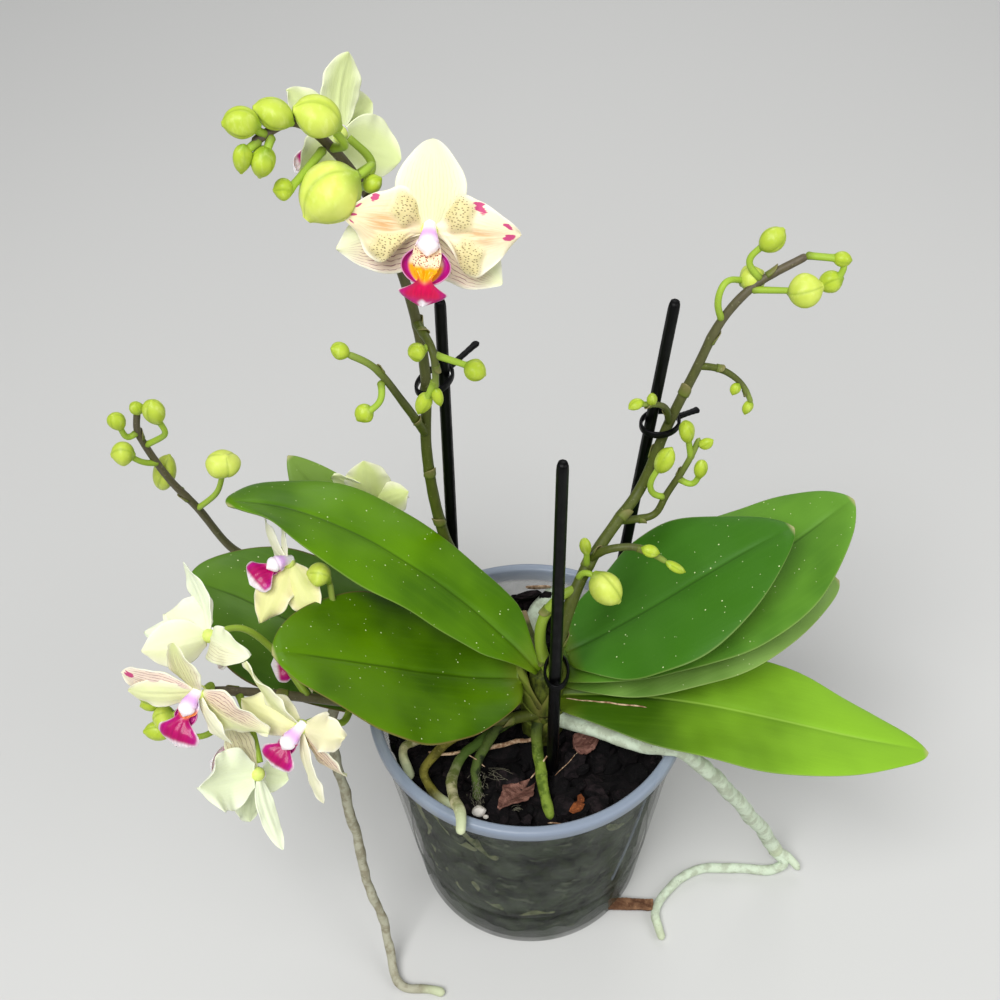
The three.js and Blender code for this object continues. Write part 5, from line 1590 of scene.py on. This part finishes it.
def pot_look():
    look = Look("look_pot", Roughness=0.3, Specular_IOR_Level=0.28, Coat_Weight=0.06, Coat_Roughness=0.12)
    cloud = look.noise(12.0, detail=4.0)
    look.base = look.blend(srgb(18, 27, 18), srgb(76, 86, 70), look.span(cloud, 0.34, 0.68))
    look.coat((148, 160, 178), look.value("solid"))
    # Painted shade: a near-black line in the groove round the foot of the wall.
    look.coat((8, 10, 8), look.value("line"))
    clear = look.span(cloud, 0.25, 0.75, 0.2, 0.34)
    firm = look.math("MAXIMUM", look.times(look.value("solid"), 0.78), look.value("line"))
    look.feed(look.shader.inputs["Alpha"], look.math("MAXIMUM", clear, firm))
    look.bump(look.noise(5.0), 0.06)
    return look.paint()


def outer_radius(z):
    """The radius of the wall's outer face at a height."""
    return BASE_RADIUS + (SHOULDER_RADIUS - BASE_RADIUS) * z / SHOULDER_Z


def on_wall(route, inward):
    """Points from degrees round the pot and heights, set in from the wall's outer face."""
    angles = np.radians([a for a, _ in route])
    heights = np.array([z for _, z in route], float)
    radii = outer_radius(heights) - inward
    return np.stack([radii * np.cos(angles), radii * np.sin(angles), heights], axis=1)


def turned(shape, profile, sides, look=0, **values):
    """A solid of revolution from radii and heights, closed on itself."""
    rings = np.swapaxes(revolved(profile, sides), 0, 1)
    shape.loft(np.concatenate([rings, rings[:1]]), look, caps=False, **values)


def make_pot(look):
    """The cup as one turned outline, with its slots cut and its seam added."""
    groove, band = POT_GROOVE, POT_HEIGHT - RIM_BAND
    round_rim = [
        [RIM_RADIUS - 1.6 + 1.6 * math.cos(a), POT_HEIGHT - 1.6 + 1.6 * math.sin(a)]
        for a in np.linspace(0, math.pi / 2, 7)
    ]
    inner_rim = [
        [RIM_RADIUS - 2.6 - 1.2 * math.sin(a), POT_HEIGHT - 1.2 + 1.2 * math.cos(a)]
        for a in np.linspace(0, math.pi / 2, 6)
    ]
    wall = [[outer_radius(z), z] for z in np.linspace(groove + 1.2, SHOULDER_Z, 20)]
    inside = [[outer_radius(z) - WALL, z] for z in np.linspace(band - 3, FLOOR + 0.8, 20)]
    profile = [
        [0.01, 1.2],
        [BASE_RADIUS - 7, 1.2],
        [BASE_RADIUS - 6, 0.1],
        [BASE_RADIUS - 1.4, 0.0],
        [BASE_RADIUS - 0.2, 0.7],
        [BASE_RADIUS, 1.6],
        *[[outer_radius(z) - 0.1, z] for z in np.linspace(4, groove - 1.2, 8)],
        [outer_radius(groove) - 0.7, groove - 0.5],
        [outer_radius(groove) - 0.7, groove + 0.5],
        *wall,
        [SHOULDER_RADIUS + 0.5, SHOULDER_Z + 1.4],
        [RIM_RADIUS - 0.8, band - 0.6],
        [RIM_RADIUS, band + 0.6],
        *round_rim,
        *inner_rim,
        [RIM_RADIUS - 4.3, band],
        *inside,
        [outer_radius(0) - WALL - 1.0, FLOOR + 0.2],
        [0.01, FLOOR + 0.2],
    ]
    shape = Shape()
    heights = np.array(profile)[:, 1]
    on_outside = np.arange(len(profile)) < profile.index(wall[-1])
    # Where the groove's painted shade lies, on the outside only.
    line = np.exp(-(((heights - groove) / 0.8) ** 2)) * on_outside * 0.75
    solid = step(SHOULDER_Z, band, heights)
    turned(shape, profile, POT_SIDES, solid=solid[None], line=line[None])
    obj = piece("pot_fine", shape, [look], ["pot"])
    cut_slots(obj)
    add_mould_seam(look)
    return obj


def cut_slots(obj):
    """Drainage slots through the foot of the wall, cut by three boxes."""
    boxes = []
    for angle in SLOT["angles"]:
        bpy.ops.mesh.primitive_cube_add(size=1)
        box = bpy.context.object
        box.scale = (24 * MM, SLOT["width"] * MM, SLOT["height"] * MM)
        turn = math.radians(angle)
        out = (BASE_RADIUS - 2) * MM
        box.location = (out * math.cos(turn), out * math.sin(turn), (SLOT["height"] / 2 + FLOOR) * MM)
        box.rotation_euler = (0, 0, turn)
        cut = obj.modifiers.new("slot", "BOOLEAN")
        cut.operation, cut.solver, cut.object = "DIFFERENCE", "EXACT", box
        boxes.append(box)
    bpy.context.view_layer.update()
    shown = obj.evaluated_get(bpy.context.evaluated_depsgraph_get())
    mesh = bpy.data.meshes.new_from_object(shown)
    obj.modifiers.clear()
    obj.data = mesh
    for box in boxes:
        bpy.data.objects.remove(box)


def add_mould_seam(look):
    """The pale line that the mould left down the right of the wall."""
    shape = Shape()
    shape.tube(even(on_wall(SEAM_ROUTE, 0.2), 60), 0.5, 8, solid=0.55, line=0.0)
    piece("pot_seam", shape, [look])


def make_wall_roots(look):
    """Roots close behind the wall, partly sunk in the filling; the first two lie nearest to it."""
    shape = Shape()
    for number, route in enumerate(WALL_ROOTS):
        deep = 2.9 if number < 2 else 3.8
        add_root(shape, on_wall(route, WALL + deep), 1.6, 1.3, 40 + number, 10, 0.05)
    return piece("roots_behind_wall", shape, [look])


# Bark: chips over a core, loose pieces, crumbs and straws


def bark_look(name, dark, light):
    look = Look(name, Roughness=0.88, Specular_IOR_Level=0.18)
    layers = look.noise(1.4, look.place((0.35, 0.35, 1.6)), 4.0)
    flecks = look.noise(0.8, detail=4.0)
    share = look.times(look.span(layers, 0.35, 0.72), look.value("tone"))
    look.base = look.blend(srgb(*dark), srgb(*light), share)
    fleck = look.times(look.times(look.span(flecks, 0.6, 0.76), 0.5), look.value("tone"))
    look.coat([min(255, c * 1.7) for c in light], fleck)
    look.bump(look.plus(layers, flecks), 0.5)
    return look.paint()


def packed_look():
    """The side of the filling as it shows through the frosted wall: soft dark blotches."""
    look = Look("look_packed", Roughness=0.95, Specular_IOR_Level=0.1)
    big = look.noise(11.0, look.place((1, 1, 1.4)), 2.0)
    low = look.noise(5.0, look.place((1, 1, 0.9)), 3.0)
    look.base = look.blend(srgb(5, 7, 5), srgb(56, 66, 46), look.span(big, 0.42, 0.66))
    look.coat((50, 62, 26), look.times(look.span(low, 0.48, 0.62), 0.6))
    pale = look.span(look.noise(8.0, look.place((1, 1, 2.0)), 2.0), 0.6, 0.7)
    look.coat((116, 122, 98), look.times(pale, 0.6))
    look.bump(big, 0.8)
    return look.paint()


def stand_up(place, spin):
    """Turns a flat chip about its own middle and stands it with its back to the wall of the pot."""
    cp, sp, cs, ss = math.cos(place), math.sin(place), math.cos(spin), math.sin(spin)
    about_z = np.array([[cp, -sp, 0], [sp, cp, 0], [0, 0, 1]])
    tip_over = np.array([[0, 0, 1], [0, 1, 0], [-1, 0, 0]])
    own = np.array([[cs, -ss, 0], [ss, cs, 0], [0, 0, 1]])
    return about_z @ tip_over @ own


def add_chip(shape, centre, size, turn, draw, look=0, tone=0.5):
    """An angular flake of bark with a broken outline and layered faces."""
    sides = draw.choice([6, 7, 8])
    angle = around(sides) + np.array([draw.uniform(-0.3, 0.3) for _ in range(sides)])
    reach = np.array([draw.uniform(0.72, 1.0) for _ in range(sides)])
    rings = []
    for height, wide in CHIP_LAYERS:
        jitter = np.array([draw.uniform(0.93, 1.05) for _ in range(sides)])
        x = np.cos(angle) * reach * wide * jitter * size[0] / 2
        y = np.sin(angle) * reach * wide * jitter * size[1] / 2
        z = np.array([height + draw.uniform(-0.12, 0.12) for _ in range(sides)]) * size[2] / 2
        rings.append(np.stack([x, y, z], axis=1))
    rings = np.array(rings) @ turn.T + np.array(centre)
    shape.loft(rings, look, tone=tone)


def make_medium(looks):
    """A core with a lumpy side and a dark top, and loose chips over its top and behind the wall."""
    draw = random.Random(11)
    shape = Shape()
    low = FLOOR + MEDIUM_GAP["floor"] + 0.3
    heights = np.linspace(low, MEDIUM_TOP - 2.5, 40)
    inner = outer_radius(heights) - WALL - MEDIUM_GAP["side"] - 2.2
    profile = np.array([[0.01, low], *zip(inner, heights), [0.01, MEDIUM_TOP - 3.5]])
    rings = revolved(profile, MEDIUM_SIDES)
    bulge = lumps(rings, 14, 3) + 0.6 * lumps(rings, 6, 4)
    out = unit(rings * [1, 1, 0])
    rings = rings + out * (bulge * step(20, 40, profile[:, :1]))[..., None]
    shape.loft(rings, 1, tone=0.5)
    top = [[0.01, MEDIUM_TOP - 2.6], [25, MEDIUM_TOP - 2.3], [inner[-1] - 0.5, MEDIUM_TOP - 2.4]]
    shape.loft(revolved(top, MEDIUM_SIDES), 0, caps=False, tone=0.2)
    golden = math.pi * (3 - math.sqrt(5))
    edge = outer_radius(MEDIUM_TOP) - WALL - 1.4
    for kind, lengths, widths, thicks, height in CHIP_KINDS:
        for k in range(CHIP_FIELD[kind]):
            size = [draw.uniform(*lengths), draw.uniform(*widths), draw.uniform(*thicks)]
            radius = edge * math.sqrt((k + 0.5) / CHIP_FIELD[kind])
            radius = min(radius, edge - size[0] / 2)
            place = k * golden + draw.uniform(-0.3, 0.3)
            high = MEDIUM_TOP + draw.uniform(*height)
            turns = [draw.uniform(-0.5, 0.5), draw.uniform(-0.5, 0.5), draw.uniform(0, 2 * math.pi)]
            tone = draw.choice(CHIP_TONES)
            spot = [radius * math.cos(place), radius * math.sin(place), high]
            add_chip(shape, spot, size, turn_matrix(*turns), draw, 0, tone)
    for _ in range(CHIP_FIELD["wall"]):
        size = [draw.uniform(10, 20), draw.uniform(6, 13), draw.uniform(3, 5)]
        z = draw.uniform(8, MEDIUM_TOP - 8)
        place = draw.uniform(0, 2 * math.pi)
        radius = outer_radius(z) - WALL - MEDIUM_GAP["side"] - 3.4
        spot = [radius * math.cos(place), radius * math.sin(place), z]
        spin = draw.uniform(0, math.pi)
        add_chip(shape, spot, size, stand_up(place, spin), draw, 1)
    return piece("potting_bark_fine", shape, looks, ["potting_bark"], smooth=False)


def make_slab_chips(looks):
    """Dark chips and a pale splinter against the back of the pot, and two orange chips at the front."""
    shape = Shape()
    draw = random.Random(5)
    for centre, size, turns, look, tone in SLAB_CHIPS:
        add_chip(shape, centre, size, turn_matrix(*turns), draw, look, tone)
    piece("bark_slab", shape, looks, smooth=False)


def make_loose_bark(name, centre, size, turns, look):
    """A torn piece of bark: a thin crumpled sheet with a ragged outline."""
    shape = Shape()
    u, v = grid(60, 31, -1)
    long, wide, thick = size
    ragged = 1 + 0.05 * np.sin(7 * u + 1) + 0.04 * np.sin(19 * u + 2) + 0.06 * np.sign(v) * np.sin(9 * u + 1)
    taper = np.sqrt(np.maximum(1 - np.abs(u) ** 2.6, 0.01)) * (1 - 0.25 * u)
    curl = 0.8 * thick * v**2 * (0.6 + 0.4 * u) - 0.3 * thick * np.exp(-((v / 0.2) ** 2))
    half = 0.32 * thick
    if name == "bark_flake":
        taper = np.maximum(1.12 - np.abs(u + 0.1 * np.sign(v)) ** 1.1, 0.1) * (1 + 0.2 * u)
        half = 0.4
    if name == "bark_sliver":
        taper, ragged = np.ones_like(u), 1 - 0.06 * np.abs(np.sin(17 * u))
        curl = np.zeros_like(curl)
    x = long / 2 * u * np.ones_like(v)
    y = wide / 2 * np.minimum(taper, 1.05) * v * ragged
    points = np.stack([x, y, np.zeros_like(x)], axis=-1)
    points[..., 2] = curl + 0.3 * lumps(points, 7, 8) + 0.12 * lumps(points, 2.4, 9)
    turn = turn_matrix(*turns)
    tone = 0.75 + 0.25 * lumps(points, 4, 3)
    shape.sheet(points @ turn.T + np.array(centre), UP @ turn.T, np.full(x.shape, half), tone=tone)
    return piece(name + "_fine", shape, [look], [name])


def crumb_look():
    look = Look("look_crumb", Roughness=0.8)
    look.base = look.blend(srgb(206, 196, 184), srgb(244, 240, 232), look.noise(1.5))
    return look.paint()


def make_crumbs(looks):
    """Two white crumbs and a few specks of lime in the bark."""
    draw = random.Random(8)
    shape = Shape()
    specks = [
        [draw.uniform(-35, 35), draw.uniform(-30, 35), 105.0, draw.uniform(0.4, 0.7)]
        for _ in range(SPECK_COUNT)
    ]
    rows = np.linspace(0, math.pi, 12)
    ball = revolved(np.stack([np.sin(rows), np.cos(rows)], axis=1), 16)
    for *place, size in [*CRUMBS, *specks]:
        rough = 1 + 0.14 * lumps(ball * size + place, size * 0.8, 4)
        shape.loft(ball * rough[..., None] * size / 2 * [1.1, 0.85, 0.8] + place)
    return piece("lime_crumbs", shape, looks)


def straw_look():
    look = Look("look_straw", Roughness=0.8, Specular_IOR_Level=0.2)
    grain = look.noise(1.6, detail=3.0)
    look.base = look.blend(srgb(134, 100, 74), srgb(206, 178, 146), look.span(grain, 0.35, 0.65))
    return look.paint()


def make_straws(look):
    """Dry fibres, each of its own thickness, that lie unevenly."""
    shape = Shape()
    for number, (route, thick) in enumerate(zip(STRAWS, STRAW_RADII)):
        centres = even(route, 40)
        centres = centres + 0.25 * np.stack([lumps(centres, 7, number * 3 + k) for k in range(3)], axis=1)
        t = np.linspace(0, 1, 40)
        blunt = np.sqrt(np.clip(1 - (2 * t - 1) ** 8, 0.1, 1))
        radii = thick * (1 + 0.12 * lumps(centres, 3, number)) * blunt
        shape.tube(centres, radii, 8)
    return piece("straws", shape, [look])


# Stakes and clips


def plastic_look():
    look = Look("look_black_plastic", Roughness=0.42, Specular_IOR_Level=0.14)
    grain = look.noise(1.2, look.place((1, 1, 0.2)), 3.0)
    look.base = look.blend(srgb(1, 1, 2), srgb(6, 6, 8), look.span(grain, 0.4, 0.75))
    look.feed(look.shader.inputs["Roughness"], look.span(look.noise(4.0), 0.3, 0.7, 0.34, 0.54))
    look.bump(grain, 0.06)
    return look.paint()


def make_stake(name, ends, look):
    """A black stick with a lightly ribbed skin and a bevelled top."""
    shape = Shape()
    start, end = np.array(ends[0], float), np.array(ends[1], float)
    t = np.concatenate([np.linspace(0, 0.985, 40), [0.994, 1.0]])
    centres = start + (end - start) * t[:, None]
    radii = mix(STAKE_RADII[0], STAKE_RADII[1], t) * np.where(t > 0.99, 0.94, 1.0)
    radii[-1] *= 0.82
    ribbed = radii[:, None] * (1 + 0.025 * np.cos(8 * around(STAKE_SIDES)))[None]
    shape.loft(centres[:, None] + spokes_round(centres, STAKE_SIDES) * ribbed[..., None])
    return piece(name + "_fine", shape, [look], [name])


def make_clip(name, spec, look):
    """A ring with rounded edges, and a thumb lever with ribbed sides."""
    shape = Shape()
    turn = turn_matrix(*spec["turn"])
    centre = np.array(spec["centre"])
    bar, height = 1.1, 2.6
    angle = around(72)
    rx, ry = spec["length"] / 2 - bar / 2, spec["width"] / 2 - bar / 2
    ring = np.stack([rx * np.cos(angle), ry * np.sin(angle), 0 * angle], axis=1)
    out = unit(np.stack([ry * np.cos(angle), rx * np.sin(angle), 0 * angle], axis=1))
    across = around(16)
    wide = squared(np.cos(across), 0.6) * bar / 2
    tall = squared(np.sin(across), 0.6) * height / 2
    rings = ring[:, None] + out[:, None] * wide[None, :, None] + UP * tall[None, :, None]
    rings = np.concatenate([rings, rings[:1]])
    shape.loft(rings @ turn.T + centre, caps=False)
    t = np.linspace(0, 1, 24)
    x = spec["length"] / 2 - bar * 0.9 + (spec["lever"] + bar * 0.5) * t
    half_wide = (1.0 + 0.25 * step(0.6, 1.0, t)) * np.where(np.arange(24) % 4 < 2, 1.0, 0.93)
    half_tall = 0.85 * (1 - 0.25 * step(0.0, 0.5, t))
    half_wide[-1] *= 0.6
    half_tall[-1] *= 0.6
    y = half_wide[:, None] * squared(np.cos(across), 0.5)
    z = half_tall[:, None] * squared(np.sin(across), 0.5)
    arm = np.stack([x[:, None] * np.ones_like(y), y, z], axis=-1)
    shape.loft(arm @ turn.T + centre)
    return piece(name + "_fine", shape, [look], [name])


# The crown: the short stem, with the dry bases of old leaves round it


def crown_look():
    look = Look("look_crown", Roughness=0.7, Specular_IOR_Level=0.2)
    grain = look.noise(2.0, look.place((1, 1, 0.4)), 4.0)
    # The dark green is partly the crown's own colour and partly painted shade from the leaves over it.
    look.base = look.blend(srgb(34, 42, 10), srgb(84, 94, 28), look.span(grain, 0.3, 0.65))
    look.coat((108, 124, 38), look.value("fresh"))
    look.coat((112, 108, 54), look.value("dry"))
    look.bump(grain, 0.3)
    return look.paint()


def add_sheath(shape, height, way, tall, seed):
    """The dry base of an old leaf, wrapped about the crown."""
    u, v = grid(16, 27)
    turn = way + v * (1.9 - 0.75 * u)
    radius = CROWN["radius"] * (0.98 + 0.22 * u**2 * (1 - v**2)) + 0.3 + 0.25 * np.sin(v * 6 + seed)
    x = CROWN["x"] + radius * np.cos(turn)
    y = CROWN["y"] + radius * np.sin(turn)
    z = height + tall * (u + 0.35 * (1 - v**2) * u) - 1.5 * np.abs(v)
    points = np.stack([x, y, z * np.ones_like(x)], axis=-1)
    out = np.stack([np.cos(turn), np.sin(turn), np.zeros_like(turn)], axis=-1)
    half = 0.5 * (1 - 0.7 * np.abs(v) ** 4) * np.ones_like(u)
    fresh = step(0.25, 0.9, u) * (0.35 + 0.09 * seed) * np.ones_like(v)
    dry = step(0.75, 1.0, np.abs(v)) * 0.7 * np.ones_like(u) + 0.3 * step(0.15, 0.0, u)
    shape.sheet(points, out, half, fresh=fresh, dry=dry)


def make_crown(look):
    """The short stem, thickest at its middle, with its sheaths."""
    shape = Shape()
    x, y = CROWN["x"], CROWN["y"]
    route = [[x - 2, y + 1, CROWN["foot"]], [x, y, CROWN["middle"]], [x + 1, y + 1, CROWN["top"]]]
    centres = even(route, 40)
    t = np.linspace(0, 1, 40)
    radii = CROWN["radius"] * (0.75 + 0.3 * np.sin(math.pi * t)) * (1 + 0.04 * np.sin(t * 40))
    shape.tube(centres, radii, 28, dry=0.4 * step(0.5, 0.2, t)[:, None], fresh=0.0)
    for number, (height, way, tall) in enumerate(SHEATHS):
        add_sheath(shape, height, math.radians(way), tall, number)
    return piece("stem_crown_fine", shape, [look], ["stem_crown"])


# The stage


def area_light(name, place, aim_height, size, power):
    data = bpy.data.lights.new(name, "AREA")
    data.shape, data.size, data.energy = "DISK", size, power
    lamp = bpy.data.objects.new(name, data)
    lamp.location = place
    lamp.rotation_euler = (Vector((0, 0, aim_height)) - Vector(place)).to_track_quat("-Z", "Y").to_euler()
    bpy.context.scene.collection.objects.link(lamp)


def make_stage():
    bpy.ops.mesh.primitive_plane_add(size=12)
    floor = bpy.context.object
    floor.name = "floor"
    look = Look("look_floor", Roughness=0.9, Specular_IOR_Level=0.1)
    look.base = look.blend(srgb(204, 204, 202), srgb(208, 208, 206), look.noise(400.0, detail=1.0))
    floor.data.materials.append(look.paint())
    bpy.context.scene.view_settings.view_transform = "Standard"
    world = bpy.data.worlds.new("soft_room")
    world.use_nodes = True
    world.node_tree.nodes["Background"].inputs["Color"].default_value = (0.97, 0.98, 1.0, 1)
    world.node_tree.nodes["Background"].inputs["Strength"].default_value = 0.3
    bpy.context.scene.world = world
    for name, light in LIGHTS.items():
        area_light(name, *light)


def make_camera():
    data = bpy.data.cameras.new("camera")
    data.lens = CAMERA_LENS
    camera = bpy.data.objects.new("camera", data)
    forward = np.array([0, math.cos(CAMERA_DIP), -math.sin(CAMERA_DIP)])
    level = np.array([1.0, 0, 0])
    rise = np.array([0, math.sin(CAMERA_DIP), math.cos(CAMERA_DIP)])
    right = level * math.cos(CAMERA_ROLL) + rise * math.sin(CAMERA_ROLL)
    top = rise * math.cos(CAMERA_ROLL) - level * math.sin(CAMERA_ROLL)
    axes = np.stack([right, top, -forward], axis=1)
    camera.matrix_world = Matrix([[*axes[k], CAMERA_PLACE[k]] for k in range(3)] + [[0, 0, 0, 1]])
    bpy.context.scene.collection.objects.link(camera)
    bpy.context.scene.camera = camera


# The whole plant
make_camera()
make_stage()

make_pot(pot_look())
barks = {name: bark_look(name, *colours) for name, colours in BARK_COLOURS.items()}
straw = straw_look()
make_medium([barks["look_bark"], packed_look()])
make_straws(straw)
make_crumbs([crumb_look()])
make_root_hairs(hair_look())
make_slab_chips([barks["look_bark"], straw, barks["look_orange_bark"]])
for name, (centre, size, turns) in LOOSE_BARK.items():
    look = barks["look_dry_bark" if name == "bark_sliver" else "look_red_bark"]
    make_loose_bark(name, centre, size, turns, look)

make_crown(crown_look())
for name, spec in LEAVES.items():
    make_leaf(name, spec)
spike_looks = [stem_look(), bud_look()]
for name, spec in SPIKES.items():
    make_spike(name, spec, spike_looks)
make_stub(spike_looks[0])

root_looks = {key: root_look(f"look_{key}_root", *colours) for key, colours in ROOT_COLOURS.items()}
make_wall_roots(root_looks["wall"])
make_back_root(root_looks["pale"])
for name, spec in ROOTS.items():
    make_root(name, spec, root_looks[spec["look"]])
make_right_root(root_looks["pale"])

black = plastic_look()
for name, ends in STAKES.items():
    make_stake(name, ends, black)
for name, spec in CLIPS.items():
    make_clip(name, spec, black)

bloom_looks = [petal_look(), ink_look("look_column", 0.45)]
lip_look = ink_look("look_lip", 0.35, 0.1, 0.15)
for name, spec in BLOOMS.items():
    make_bloom(name, spec, bloom_looks)
    make_lip(name, spec, lip_look)
